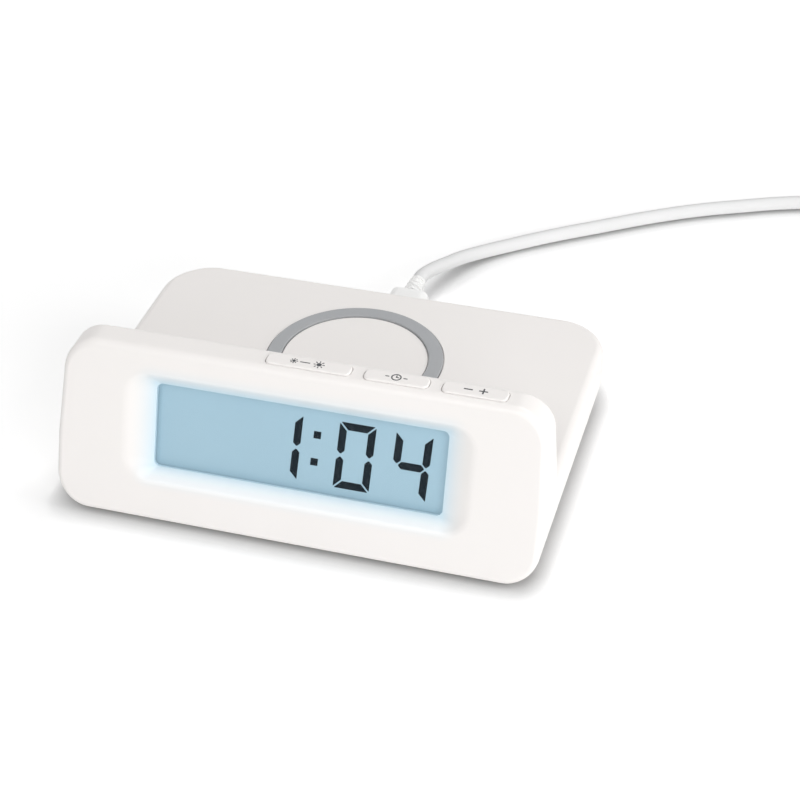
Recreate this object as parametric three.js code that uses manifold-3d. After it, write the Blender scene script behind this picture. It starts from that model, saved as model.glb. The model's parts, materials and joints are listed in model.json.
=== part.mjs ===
// Digital desk clock with a wireless charging pad behind its display.
// Millimetres, +Z up. X runs along the display, Y from the face to the cable, and Z = 0 is the table.
// The origin is the centre of the footprint, without the cable.
import * as THREE from "three";
import { mergeVertices } from "three/addons/utils/BufferGeometryUtils.js";
import Module from "manifold-3d";

const wasm = await Module();
wasm.setup();

// Fits
const clearance = 0.3;
const overlap = 0.5;

// Body outside
const bodyWidth = 127.8;
const bodyDepth = 92;
const bodyTop = 44.4;
const bodyBottom = 1.0;
const padTop = 19.4;
const uprightDepth = 23.7;
const faceLean = THREE.MathUtils.degToRad(19);
const sideTaper = 1.0;
const cornerRadius = 9;
const rearCornerRadius = 14;
const faceEdge = 1.8;
const padEdge = 2.4;
const wall = 2.0;
const cornerSteps = 7;
const hollowSteps = 4;
const edgeSteps = 3;

// Seam between the housing and the bottom cover
const seamHeight = 5.5;
const frontLip = 6;
const tongueThickness = 1.2;
const tongueHeight = 2.2;
const postHeight = 2.6;

// Sunken display, in the plane of the face: u across, v up along the face, depth inwards
const recessWidth = 93.2;
const recessBottom = 11.4;
const recessTop = 40.8;
const recessRadius = 7;
const recessDepth = 3.0;
const windowWidth = 76.4;
const windowBottom = 15.3;
const windowTop = 37.5;
const windowRadius = 1.6;
const sillThickness = 0.9;
const recessSteps = 6;

// Display stack, from front to back
const lensStep = 0.2;
const lensFlange = 0.7;
const lensMargin = 3.2;
const panelMargin = 1.6;
const panelWidth = 85.8;
const panelHeight = 27.4;
const panelThickness = 2.0;
const guideWidth = 80;
const guideThickness = 1.8;
const lampSize = new THREE.Vector3(2.2, 2.0, 4);
const stripWidth = 74;
const stripHeight = 2.0;
const stripMargin = 0.4;
const sheetRadius = 0.6;
const boardThickness = 1.2;
const clockBoardTop = 33;
const clockBoardBottom = 9.4;
const clockChip = { u: 0, v: 18.5, width: 16, height: 11, depth: 1.4 };
const clockCrystal = { u: 20, v: 15.5, width: 8, height: 3, depth: 2 };
const holderWall = 2.2;
const holderDrop = 1.0;
const displayScrewSpacing = 97;
const displayScrewHeight = 14;

// Buttons on the top strip, from the wide one to the one at the corner
const buttonWidths = { light: 22, set: 16.5, adjust: 16.5 };
const buttonGap = 3.3;
const buttonRowInset = 12.3;
const buttonDepth = 4.4;
const buttonProud = 0.5;
const buttonRadius = 1.5;
const buttonEar = 1.0;
const buttonEarHeight = 0.8;
const buttonTravel = 0.5;

// Key board and its switches
const keyBoardThickness = 0.8;
const keyBoardDepth = 3.8;
const ledgeWidth = 4;
const ledgeDepth = 1.4;
const ledgeHeight = 0.9;
const switchWidth = 4.6;
const switchDepth = 3.2;
const switchHeight = 1.5;
const plungerRadius = 1.0;
const plungerProud = 0.9;
const plungerSeat = 0.4;

// Charging parts under the pad
const coilRadius = 25;
const coilHole = 10;
const coilHeight = 1.5;
const ferriteRadius = 26;
const ferriteHeight = 0.8;
const carrierWall = 1.6;
const carrierFloor = 1.4;
const carrierScrewReach = 33;
const padRingRadius = 22;
const padRingWidth = 4;
const padRingHeight = 0.9;
const padRingProud = 0.5;

// Charger board on the bottom cover, with the USB socket at its rear edge
const chargerBoardX = -6;
const chargerBoardWidth = 54;
const chargerBoardDepth = 29;
const chargerBoardHeight = 6.3;
const chargerBoardMargin = 5.5;
const boardPostRadius = 2.4;
const boardPostInset = 4;
const inductor = { x: 9.5, y: 15.5, width: 7, depth: 7, height: 2.6 };
const chargerChip = { x: 30, y: 11, width: 6, depth: 6, height: 1 };
const capacitor = { x: 40.5, y: 13.5, width: 3, depth: 3, height: 1.8 };
const capacitorCount = 3;
const capacitorPitch = 4.5;
const socketX = 2;
const socketWidth = 9;
const socketHeight = 3.2;
const socketDepth = 7.4;
const socketBack = 1.0;
const socketRestDepth = 3;
const shellWall = 0.5;
const roundTrim = 0.1;

// Flat cable between the two boards
const ribbonX = -22;
const ribbonWidth = 8;
const ribbonThickness = 0.8;
const ribbonLead = 0.8;
const ribbonLeadRise = 0.6;
const ribbonBend = 6;
const ribbonBendRise = 0.4;
const ribbonLanding = 7;
const headerWidth = 10;
const headerDepth = 3.4;
const headerHeight = 2.2;
const clockHeaderV = 13.7;
const chargerHeaderY = 3.7;

// Backup cell under its turning cap
const cellInset = 25.9;
const cellY = 0;
const cellRadius = 10;
const cellHeight = 3.2;
const cellLidInset = 1.2;
const cellLidStep = 0.5;
const capRadius = 11.5;
const lugReach = 1.8;
const lugAngle = THREE.MathUtils.degToRad(24);
const lugHeight = 1.0;
const lugCount = 3;
const capTurn = THREE.MathUtils.degToRad(50);
const collarWall = 1.5;
const contactThickness = 0.4;
const contactWidth = 4;
const bridgeWidth = 8;
const bridgeThickness = 1.2;
const coinSlotLength = 13;
const coinSlotWidth = 1.8;
const coinSlotDepth = 0.9;

// Fasteners and feet
const coverScrewInset = 13.9;
const coverScrewFrontInset = 1.2;
const coverScrewRearInset = 24;
const bossRadius = 3.4;
const screwRadius = 1.15;
const screwHeadRadius = 2.4;
const screwHeadHeight = 1.5;
const smallScrewRadius = 0.9;
const smallScrewHeadRadius = 1.8;
const smallScrewHeadHeight = 1.1;
const smallBossRadius = 2.6;
const screwTipGap = 0.4;
const pilotRoof = 1.0;
const footInset = 18.9;
const footFrontInset = 7;
const footRearInset = 15;
const footRadius = 5;
const footSeat = 0.7;
const footEdge = 0.5;

// Buzzer, between the front feet and the cell
const buzzerInset = 23.9;
const buzzerFrontInset = 11.2;
const buzzerRadius = 6.5;
const buzzerHeight = 3.4;
const buzzerSeatWall = 1.2;
const buzzerSeatHeight = 2;
const soundHoleRadius = 1.1;
const soundHoleDepth = 1.4;

// Cable
const cordDiameter = 4.2;
const plugWidth = 11.4;
const plugHeight = 6.2;
const plugLength = 13;
const plugRadius = 2.7;
const plugEdge = 0.8;
const plugTipRadius = 0.7;
const reliefLength = 7.5;
const reliefRadius = 2.9;
const cordSides = 8;
const cordSteps = 40;
const tailSteps = 6;
const coilCentre = new THREE.Vector3(140, 186, 0);
const coilInnerRadius = 16.8;
const coilOuterRadius = 29.4;
const coilStackHeight = 8.4;
const tieThickness = 0.6;
const tieWidth = 6;
const tieTurn = 140;
const usbWidth = 15.4;
const usbHeight = 7.6;
const usbLength = 21;
const usbShellWidth = 12;
const usbShellHeight = 4.5;
const usbShellLength = 12;
const usbCornerRadius = 2;
const usbShellBack = 1;
const usbTongueHeight = 1.6;
const tailLeaves = 15;
const tailLength = 12;
const tailStartZ = 5.2;

// Worked out from the sizes above
const lean = Math.tan(faceLean);
const innerTop = bodyTop - wall;
const padUnder = padTop - wall;
const frontMost = bodyBottom * lean + faceEdge * (1 + lean - 1 / Math.cos(faceLean));
const faceFootY = -bodyDepth / 2 - frontMost;
const uprightRearY = faceFootY + uprightDepth;
const rearY = bodyDepth / 2;
const padCentreY = (uprightRearY + rearY) / 2;
const stripFrontY = faceFootY + bodyTop * lean;
const buttonY = (stripFrontY + uprightRearY) / 2;
const coverFrontY = faceFootY + frontLip;
const coverScrewX = bodyWidth / 2 - coverScrewInset;
const coverScrewFrontY = uprightRearY + coverScrewFrontInset;
const coverScrewRearY = rearY - coverScrewRearInset;
const footX = bodyWidth / 2 - footInset;
const footFrontY = coverFrontY + footFrontInset;
const footRearY = rearY - footRearInset;
const cellX = bodyWidth / 2 - cellInset;
const buzzerX = buzzerInset - bodyWidth / 2;
const buzzerY = uprightRearY + buzzerFrontInset;
const displayScrewX = displayScrewSpacing / 2;
const lensDepth = recessDepth + sillThickness + clearance;
const panelDepth = lensDepth + lensFlange + clearance;
const guideDepth = panelDepth + panelThickness + clearance;
const clockBoardDepth = guideDepth + guideThickness + clearance * 2;
const bossDepth = panelDepth + overlap;
const panelTop = windowTop + panelMargin;
const panelBottom = panelTop - panelHeight;
const coverTop = bodyBottom + wall;
const socketZ = chargerBoardHeight + boardThickness + clearance + socketHeight / 2;
const socketEndY = rearY - clearance;
const plugFaceY = rearY + clearance;

const material = (color, roughness, metalness = 0, extra = {}) =>
  new THREE.MeshStandardMaterial({ color, roughness, metalness, ...extra });
const whitePlastic = material(0xf2f1ef, 0.35);
const clearPlastic = material(0xf4f8fa, 0.05, 0, { transparent: true, opacity: 0.35 });
const displayGlass = material(0xa8c8d7, 0.2);
const milkyPlastic = material(0xe8f1f4, 0.3);
const greenBoard = material(0x2d6a43, 0.5);
const blackRubber = material(0x2a2a2b, 0.8);
const greyRubber = material(0xb9bcbe, 0.8);
const copper = material(0xb8683a, 0.35, 0.9);
const steel = material(0xc4c6c8, 0.35, 1);
const darkCeramic = material(0x34363a, 0.7);
const blackPlastic = material(0x1f2022, 0.5);
const whiteCord = material(0xf0efed, 0.45);

// Solids and meshes
function toSolid(geometry) {
  const plain = geometry.clone();
  plain.deleteAttribute("normal");
  plain.deleteAttribute("uv");
  const merged = mergeVertices(plain, 1e-4);
  return new wasm.Manifold(new wasm.Mesh({
    numProp: 3,
    vertProperties: new Float32Array(merged.attributes.position.array),
    triVerts: new Uint32Array(merged.index.array),
  }));
}

function join(...solids) {
  return solids.reduce((whole, next) => whole.add(next));
}

function cut(solid, ...tools) {
  return tools.reduce((rest, tool) => rest.subtract(tool), solid);
}

function toGeometry(solid) {
  const mesh = solid.getMesh();
  const geometry = new THREE.BufferGeometry();
  geometry.setAttribute("position", new THREE.BufferAttribute(new Float32Array(mesh.vertProperties), 3));
  geometry.setIndex(new THREE.BufferAttribute(new Uint32Array(mesh.triVerts), 1));
  geometry.computeVertexNormals();
  return geometry;
}

function piece(name, solid, finish) {
  const mesh = new THREE.Mesh(toGeometry(solid), finish);
  mesh.name = name;
  return mesh;
}

// Outlines: lists of points in a plane, counter-clockwise
function arc(x, y, radius, startDegrees, steps = cornerSteps) {
  return Array.from({ length: steps + 1 }, (_, step) => {
    const angle = THREE.MathUtils.degToRad(startDegrees + (90 * step) / steps);
    return new THREE.Vector2(x + radius * Math.cos(angle), y + radius * Math.sin(angle));
  });
}

function roundedBox(x0, x1, y0, y1, radius, steps = 4) {
  return [
    ...arc(x1 - radius, y0 + radius, radius, 270, steps),
    ...arc(x1 - radius, y1 - radius, radius, 0, steps),
    ...arc(x0 + radius, y1 - radius, radius, 90, steps),
    ...arc(x0 + radius, y0 + radius, radius, 180, steps),
  ];
}

function box(x0, x1, y0, y1, z0, z1) {
  const geometry = new THREE.BoxGeometry(x1 - x0, y1 - y0, z1 - z0);
  geometry.translate((x0 + x1) / 2, (y0 + y1) / 2, (z0 + z1) / 2);
  return toSolid(geometry);
}

function block(x, y, width, depth, z0, z1) {
  return box(x - width / 2, x + width / 2, y - depth / 2, y + depth / 2, z0, z1);
}

function cylinder(x, y, z0, z1, radius, sides = 16) {
  const geometry = new THREE.CylinderGeometry(radius, radius, z1 - z0, sides);
  geometry.rotateX(Math.PI / 2);
  geometry.translate(x, y, (z0 + z1) / 2);
  return toSolid(geometry);
}

// A prism that stands up from an outline seen from above
function upright(points, z0, z1) {
  const geometry = new THREE.ExtrudeGeometry(new THREE.Shape(points), { depth: z1 - z0, bevelEnabled: false });
  geometry.translate(0, 0, z0);
  return toSolid(geometry);
}

// A prism that runs back along Y from an outline seen from the front
function backward(points, y0, y1) {
  const geometry = new THREE.ExtrudeGeometry(new THREE.Shape(points), { depth: y1 - y0, bevelEnabled: false });
  geometry.rotateX(Math.PI / 2);
  geometry.translate(0, y1, 0);
  return toSolid(geometry);
}

// A prism that runs along X from an outline of (y, z) points seen from the right
function across(points, x0, x1) {
  const geometry = new THREE.ExtrudeGeometry(new THREE.Shape(points), { depth: x1 - x0, bevelEnabled: false });
  geometry.applyMatrix4(new THREE.Matrix4().makeBasis(
    new THREE.Vector3(0, 1, 0), new THREE.Vector3(0, 0, 1), new THREE.Vector3(1, 0, 0),
  ));
  geometry.translate(x0, 0, 0);
  return toSolid(geometry);
}

// A closed skin through rings with the same number of points, the ends closed flat
function loftGeometry(rings) {
  const count = rings[0].length;
  const positions = rings.flat().flatMap((point) => [point.x, point.y, point.z]);
  const index = [];
  for (let level = 0; level + 1 < rings.length; level += 1) {
    for (let side = 0; side < count; side += 1) {
      const next = (side + 1) % count;
      const a = level * count + side;
      const b = level * count + next;
      index.push(a, b, b + count, a, b + count, a + count);
    }
  }
  const last = (rings.length - 1) * count;
  for (let side = 1; side + 1 < count; side += 1) {
    index.push(0, side + 1, side);
    index.push(last, last + side, last + side + 1);
  }
  const geometry = new THREE.BufferGeometry();
  geometry.setAttribute("position", new THREE.Float32BufferAttribute(positions, 3));
  geometry.setIndex(index);
  return geometry;
}

function loft(rings) {
  return toSolid(loftGeometry(rings));
}

// A revolved solid about the line X, Y = 0, from (radius, height) pairs
function revolve(pairs, segments = 32) {
  const points = pairs.map(([radius, height]) => new THREE.Vector2(radius, height));
  const geometry = new THREE.LatheGeometry(points, segments);
  geometry.rotateX(Math.PI / 2);
  return toSolid(geometry);
}

function ring(x, y, z0, z1, inner, outer, segments = 32) {
  const profile = [[inner, z0], [outer, z0], [outer, z1], [inner, z1], [inner, z0]];
  return revolve(profile, segments).translate([x, y, 0]);
}

// The face frame: X is u, Y is the depth behind the face and Z is v along the face
function onFace(solid) {
  const degrees = THREE.MathUtils.radToDeg(faceLean);
  return solid.rotate([-degrees, 0, 0]).translate([0, faceFootY, 0]);
}

// Body outside, and the same form drawn in by a wall for its hollow
function frontOutline(inset) {
  const radius = cornerRadius - inset;
  const half = bodyWidth / 2;
  const lowX = half - cornerRadius;
  const highX = lowX - sideTaper;
  const lowZ = bodyBottom + cornerRadius;
  const highZ = bodyTop - cornerRadius;
  const steps = inset > 0 ? hollowSteps : cornerSteps;
  return [
    ...arc(lowX, lowZ, radius, 270, steps),
    new THREE.Vector2(half - inset, padTop),
    ...arc(highX, highZ, radius, 0, steps),
    ...arc(-highX, highZ, radius, 90, steps),
    new THREE.Vector2(inset - half, padTop),
    ...arc(-lowX, lowZ, radius, 180, steps),
  ];
}

function uprightBody(inset) {
  const edge = inset > 0 ? faceEdge / 2 : faceEdge;
  const front = inset / Math.cos(faceLean);
  const rear = uprightDepth - inset;
  const geometry = new THREE.ExtrudeGeometry(new THREE.Shape(frontOutline(inset)), {
    depth: rear - front - 2 * edge,
    bevelThickness: edge,
    bevelSize: edge,
    bevelOffset: -edge,
    bevelSegments: inset > 0 ? 1 : edgeSteps,
  });
  geometry.rotateX(Math.PI / 2);
  geometry.translate(0, rear - edge, 0);
  const position = geometry.attributes.position;
  for (let i = 0; i < position.count; i += 1) {
    if (position.getY(i) < (front + rear) / 2) {
      position.setY(i, position.getY(i) + position.getZ(i) * lean);
    }
  }
  geometry.translate(0, faceFootY, 0);
  return toSolid(geometry);
}

function baseRing(inset, z, steps = cornerSteps) {
  const half = bodyWidth / 2 - inset;
  const rear = rearY - inset;
  const radius = rearCornerRadius - inset;
  const front = uprightRearY - 2 * (wall + faceEdge);
  return [
    new THREE.Vector2(-half, front),
    new THREE.Vector2(half, front),
    ...arc(half - radius, rear - radius, radius, 0, steps),
    ...arc(radius - half, rear - radius, radius, 90, steps),
  ].map((point) => new THREE.Vector3(point.x, point.y, z));
}

function baseBody(inset) {
  const rings = [];
  const steps = inset > 0 ? hollowSteps : cornerSteps;
  const round = cornerRadius - inset;
  for (let step = 0; step <= steps; step += 1) {
    const angle = (Math.PI / 2) * (step / steps);
    const drawn = cornerRadius - round * Math.sin(angle);
    rings.push(baseRing(drawn, bodyBottom + cornerRadius - round * Math.cos(angle), steps));
  }
  const edge = Math.max(padEdge - inset, 0.4);
  const turns = inset > 0 ? 1 : edgeSteps;
  for (let turn = 0; turn <= turns; turn += 1) {
    const angle = (Math.PI / 2) * (turn / turns);
    const drawn = inset + edge * (1 - Math.cos(angle));
    rings.push(baseRing(drawn, padTop - inset - edge * (1 - Math.sin(angle)), steps));
  }
  return loft(rings);
}

function body(inset) {
  return join(uprightBody(inset), baseBody(inset));
}

const outside = body(0);
const hollow = body(wall);

// The part of the body that belongs to the bottom cover
function coverZone(gap) {
  const reach = bodyWidth;
  return box(-reach, reach, coverFrontY + gap, rearY + reach, bodyBottom - reach, seamHeight + clearance - gap);
}

// Sunken display in the housing
function recessRing(width, bottom, top, radius, depth) {
  return roundedBox(-width / 2, width / 2, bottom, top, radius, recessSteps)
    .map((point) => new THREE.Vector3(point.x, depth, point.y))
    .reverse();
}

function recessCutter() {
  const outward = 1;
  const grow = outward / recessDepth;
  const sideRun = (recessWidth - windowWidth) / 2;
  const bottomRun = windowBottom - recessBottom;
  const topRun = recessTop - windowTop;
  const slopes = onFace(loft([
    recessRing(
      recessWidth + 2 * sideRun * grow, recessBottom - bottomRun * grow, recessTop + topRun * grow,
      recessRadius + (recessRadius - windowRadius) * grow, -outward,
    ),
    recessRing(windowWidth, windowBottom, windowTop, windowRadius, recessDepth),
  ]));
  const opening = onFace(backward(
    roundedBox(-windowWidth / 2, windowWidth / 2, windowBottom, windowTop, windowRadius), 0, lensDepth,
  ));
  return join(slopes, opening);
}

function recessBacking() {
  const half = displayScrewX + smallBossRadius;
  const plate = backward(
    roundedBox(-half, half, recessBottom - wall, recessTop, wall), wall / 2, recessDepth + sillThickness,
  );
  return onFace(plate).intersect(outside);
}

// Round posts and holes at the two display screws, between two depths behind the face
function atDisplayScrews(depth0, depth1, radius) {
  return [-1, 1].map((side) => cylinder(side * displayScrewX, -displayScrewHeight, depth0, depth1, radius, 12)
    .rotate([-90, 0, 0]));
}

function displayBosses() {
  return atDisplayScrews(recessDepth, bossDepth, smallBossRadius).map(onFace);
}

function displayPilots() {
  return atDisplayScrews(recessDepth, bossDepth + overlap, smallScrewRadius + clearance).map(onFace);
}

// Buttons
function buttonSpans() {
  const spans = [];
  let end = bodyWidth / 2 - buttonRowInset;
  for (const name of ["adjust", "set", "light"]) {
    spans.push({ name, start: end - buttonWidths[name], end, middle: end - buttonWidths[name] / 2 });
    end -= buttonWidths[name] + buttonGap;
  }
  return spans;
}

function buttonHole(span) {
  const half = buttonDepth / 2 + clearance;
  const outline = roundedBox(
    span.start - clearance, span.end + clearance, buttonY - half, buttonY + half, buttonRadius + clearance,
  );
  return upright(outline, innerTop - faceEdge - buttonTravel, bodyTop + 1);
}

function button(span) {
  const edge = buttonProud;
  const half = buttonDepth / 2;
  const flat = innerTop - clearance - buttonEarHeight - clearance;
  const level = (inset, z) => roundedBox(
    span.start + inset, span.end - inset, buttonY - half + inset, buttonY + half - inset, buttonRadius - inset,
  ).map((point) => new THREE.Vector3(point.x, point.y, z));
  const rings = [level(0, flat), level(0, bodyTop + buttonProud - edge)];
  for (let step = 1; step <= edgeSteps; step += 1) {
    const angle = (Math.PI / 2) * (step / edgeSteps);
    rings.push(level(edge * (1 - Math.cos(angle)), bodyTop + buttonProud - edge * (1 - Math.sin(angle))));
  }
  const earTop = innerTop - clearance;
  const ears = box(
    span.start - buttonEar, span.end + buttonEar, buttonY - half + clearance, buttonY + half - 2 * clearance,
    earTop - buttonEarHeight, earTop,
  );
  return join(loft(rings), ears);
}

const buttonUnder = innerTop - buttonEarHeight - 2 * clearance;
const plungerTop = buttonUnder - clearance;
const switchTop = plungerTop - plungerProud;
const keyBoardTop = switchTop - switchHeight - clearance;
const keyBoardUnder = keyBoardTop - keyBoardThickness;

function keySwitch(span) {
  const shell = block(span.middle, buttonY, switchWidth, switchDepth, switchTop - switchHeight, switchTop);
  const floor = switchTop - plungerSeat - buttonTravel - clearance;
  const well = cylinder(span.middle, buttonY, floor, switchTop + 1, plungerRadius + clearance);
  return cut(shell, well);
}

function plunger(span) {
  return cylinder(span.middle, buttonY, switchTop - plungerSeat, plungerTop, plungerRadius);
}

function keyBoard() {
  const spans = buttonSpans();
  const left = spans.at(-1).start;
  const right = spans[0].end;
  return block((left + right) / 2, buttonY, right - left, keyBoardDepth, keyBoardUnder, keyBoardTop);
}

function keyBoardLedges() {
  const y = uprightRearY - wall + (overlap - ledgeDepth) / 2;
  const top = keyBoardUnder - clearance;
  return buttonSpans().map((span) =>
    block(span.middle, y, ledgeWidth, ledgeDepth + overlap, top - ledgeHeight, top));
}

// Housing
function coverScrewPlaces() {
  const places = [];
  for (const y of [coverScrewFrontY, coverScrewRearY]) {
    for (const x of [-coverScrewX, coverScrewX]) {
      places.push({ x, y });
    }
  }
  return places;
}

const postTop = seamHeight + postHeight;

function housingBosses() {
  return coverScrewPlaces().map(({ x, y }) =>
    cylinder(x, y, postTop + clearance, padUnder + overlap, bossRadius));
}

function housingPilots() {
  return coverScrewPlaces().map(({ x, y }) =>
    cylinder(x, y, postTop, padUnder - pilotRoof, screwRadius + clearance, 12));
}

const coilTop = padUnder - clearance;
const ferriteTop = coilTop - coilHeight - clearance;
const carrierFloorTop = ferriteTop - ferriteHeight - clearance;
const carrierUnder = carrierFloorTop - carrierFloor;

// Round posts and holes at the two carrier screws
function atCarrierScrews(z0, z1, radius) {
  return [-1, 1].map((side) => cylinder(side * carrierScrewReach, padCentreY, z0, z1, radius, 12));
}

function carrierBosses() {
  return atCarrierScrews(carrierFloorTop + clearance, padUnder + overlap, smallBossRadius);
}

function carrierPilots() {
  return atCarrierScrews(carrierFloorTop, padUnder, smallScrewRadius + clearance);
}

function padRingGroove() {
  const depth = padRingHeight - padRingProud + clearance;
  const half = padRingWidth / 2 + clearance;
  return ring(0, padCentreY, padTop - depth, padTop + 1, padRingRadius - half, padRingRadius + half, 40);
}

function socketHole() {
  const half = socketWidth / 2 + clearance;
  const tall = socketHeight / 2 + clearance;
  const outline = roundedBox(socketX - half, socketX + half, socketZ - tall, socketZ + tall, tall - roundTrim);
  return backward(outline, rearY - socketDepth - wall, rearY + 1);
}

function housing() {
  const shell = cut(outside, hollow);
  const inside = join(shell, recessBacking(), ...displayBosses(), ...housingBosses(), ...carrierBosses(),
    ...keyBoardLedges());
  return cut(inside, recessCutter(), ...displayPilots(), ...housingPilots(), ...carrierPilots(),
    ...buttonSpans().map(buttonHole), padRingGroove(), socketHole(), coverZone(0));
}

// Bottom cover
function footPlaces() {
  const places = [];
  for (const y of [footFrontY, footRearY]) {
    for (const x of [-footX, footX]) {
      places.push({ x, y });
    }
  }
  return places;
}

function chargerPostPlaces() {
  const left = chargerBoardX - chargerBoardWidth / 2 + boardPostInset;
  const right = chargerBoardX + chargerBoardWidth / 2 - boardPostInset;
  const front = chargerBoardFront() + boardPostInset;
  return [{ x: left, y: front }, { x: right, y: front }];
}

function chargerBoardFront() {
  return rearY - chargerBoardMargin - chargerBoardDepth;
}

// How far the hollow is drawn in at a height on its round lower corner
function hollowInset(z) {
  const drop = bodyBottom + cornerRadius - z;
  return cornerRadius - Math.sqrt((cornerRadius - wall) ** 2 - drop ** 2);
}

function coverTongue() {
  const inset = hollowInset(seamHeight + clearance) + clearance;
  const fence = (drawn) => baseRing(drawn, 0, hollowSteps).map((point) => new THREE.Vector2(point.x, point.y));
  const outer = upright(fence(inset), coverTop - overlap, seamHeight + tongueHeight);
  const inner = upright(fence(inset + tongueThickness), 0, bodyTop);
  const reach = bodyWidth;
  const front = box(-reach, reach, -reach, uprightRearY, 0, bodyTop);
  return cut(outer, inner, front);
}

function lugPrism(radius, reach, angle, turn, z0, z1) {
  const steps = 4;
  const lugs = [];
  for (let lug = 0; lug < lugCount; lug += 1) {
    const middle = turn + (lug * 2 * Math.PI) / lugCount;
    const rim = [];
    for (let step = 0; step <= steps; step += 1) {
      const at = middle + angle * (step / steps - 0.5);
      rim.push(new THREE.Vector2((radius + reach) * Math.cos(at), (radius + reach) * Math.sin(at)));
    }
    const inner = radius / 2;
    rim.push(new THREE.Vector2(inner * Math.cos(middle + angle / 2), inner * Math.sin(middle + angle / 2)));
    rim.push(new THREE.Vector2(inner * Math.cos(middle - angle / 2), inner * Math.sin(middle - angle / 2)));
    lugs.push(upright(rim, z0, z1).translate([cellX, cellY, 0]));
  }
  return lugs;
}

const lugUnder = coverTop + clearance;
const lugTop = lugUnder + lugHeight;
const collarInner = capRadius + lugReach + clearance;
const collarOuter = collarInner + collarWall;
const collarTop = lugTop + clearance;
const cellUnder = lugTop + clearance;
const cellTop = cellUnder + cellHeight;

function capHole() {
  const margin = clearance / capRadius;
  return [
    cylinder(cellX, cellY, bodyBottom - 1, coverTop + 1, capRadius + clearance, 36),
    ...lugPrism(capRadius, lugReach + clearance, lugAngle + 2 * margin, capTurn, bodyBottom - 1, coverTop + 1),
  ];
}

function bottomCover() {
  const shell = cut(outside, hollow).intersect(coverZone(clearance));
  const collar = ring(cellX, cellY, coverTop - overlap, collarTop, collarInner, collarOuter, 36);
  const posts = coverScrewPlaces().map(({ x, y }) => cylinder(x, y, coverTop - overlap, postTop, bossRadius));
  const boardPosts = chargerPostPlaces().map(({ x, y }) =>
    cylinder(x, y, coverTop - overlap, chargerBoardHeight - clearance, boardPostRadius, 12));
  const buzzerSeat = ring(
    buzzerX, buzzerY, coverTop - overlap, coverTop + buzzerSeatHeight,
    buzzerRadius + clearance, buzzerRadius + clearance + buzzerSeatWall, 24,
  );
  const boardRear = rearY - chargerBoardMargin;
  const socketRest = block(
    socketX, boardRear - socketRestDepth / 2, socketWidth, socketRestDepth,
    coverTop - overlap, chargerBoardHeight - clearance,
  );
  const headSeat = bodyBottom + screwHeadHeight + 2 * clearance;
  const screwWays = coverScrewPlaces().flatMap(({ x, y }) => [
    cylinder(x, y, bodyBottom - 1, postTop + 1, screwRadius + clearance, 12),
    cylinder(x, y, bodyBottom - 1, headSeat, screwHeadRadius + clearance),
  ]);
  const boardPilots = chargerPostPlaces().map(({ x, y }) =>
    cylinder(x, y, coverTop, chargerBoardHeight, smallScrewRadius + clearance, 12));
  const footSeats = footPlaces().map(({ x, y }) =>
    cylinder(x, y, bodyBottom - 1, bodyBottom + footSeat + clearance, footRadius + clearance, 20));
  const plain = join(shell, coverTongue(), collar, buzzerSeat, socketRest, ...posts, ...boardPosts);
  return cut(plain, ...screwWays, ...boardPilots, ...footSeats, ...capHole(), socketHole());
}

// Display stack
function facePanel(width, bottom, top, depth, thickness, radius = sheetRadius) {
  return onFace(backward(roundedBox(-width / 2, width / 2, bottom, top, radius, 3), depth, depth + thickness));
}

function displayWindow() {
  const gap = clearance;
  const plateau = facePanel(
    windowWidth - 2 * gap, windowBottom + gap, windowTop - gap, recessDepth + lensStep,
    lensDepth - recessDepth, windowRadius - gap,
  );
  const flange = facePanel(panelWidth, windowBottom - lensMargin, panelTop, lensDepth, lensFlange);
  return join(plateau, flange);
}

function lcdPanel() {
  return facePanel(panelWidth, panelBottom, panelTop, panelDepth, panelThickness);
}

function lightGuide() {
  return facePanel(guideWidth, windowBottom, panelTop - panelMargin / 2, guideDepth, guideThickness);
}

function backlightLamp() {
  const u = -guideWidth / 2 - clearance - lampSize.x / 2;
  const v = (windowBottom + windowTop) / 2;
  const depth = guideDepth + lampSize.y / 2;
  return onFace(block(u, depth, lampSize.x, lampSize.y, v - lampSize.z / 2, v + lampSize.z / 2));
}

function contactStrip() {
  const bottom = panelBottom + stripMargin;
  const thickness = clockBoardDepth - guideDepth - clearance;
  return facePanel(stripWidth, bottom, bottom + stripHeight, guideDepth, thickness, sheetRadius / 2);
}

function displayHolder() {
  const inner = panelWidth / 2 + clearance;
  const outer = inner + holderWall;
  const bottom = panelBottom - clearance - holderWall;
  const top = panelTop - holderDrop;
  const outline = [
    [-outer, bottom], [outer, bottom], [outer, top], [inner, top],
    [inner, bottom + holderWall], [-inner, bottom + holderWall], [-inner, top], [-outer, top],
  ].map(([u, v]) => new THREE.Vector2(u, v));
  const start = panelDepth;
  const end = clockBoardDepth - clearance;
  const ears = [-1, 1].map((side) => {
    const u = side * displayScrewX;
    const inward = side * (outer - overlap);
    return backward(roundedBox(
      Math.min(inward, u + side * smallBossRadius), Math.max(inward, u + side * smallBossRadius),
      displayScrewHeight - smallBossRadius, displayScrewHeight + smallBossRadius, sheetRadius, 3,
    ), bossDepth + clearance, end);
  });
  const holes = atDisplayScrews(start, end + 1, smallScrewRadius + clearance);
  return onFace(cut(join(backward(outline, start, end), ...ears), ...holes));
}

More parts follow.
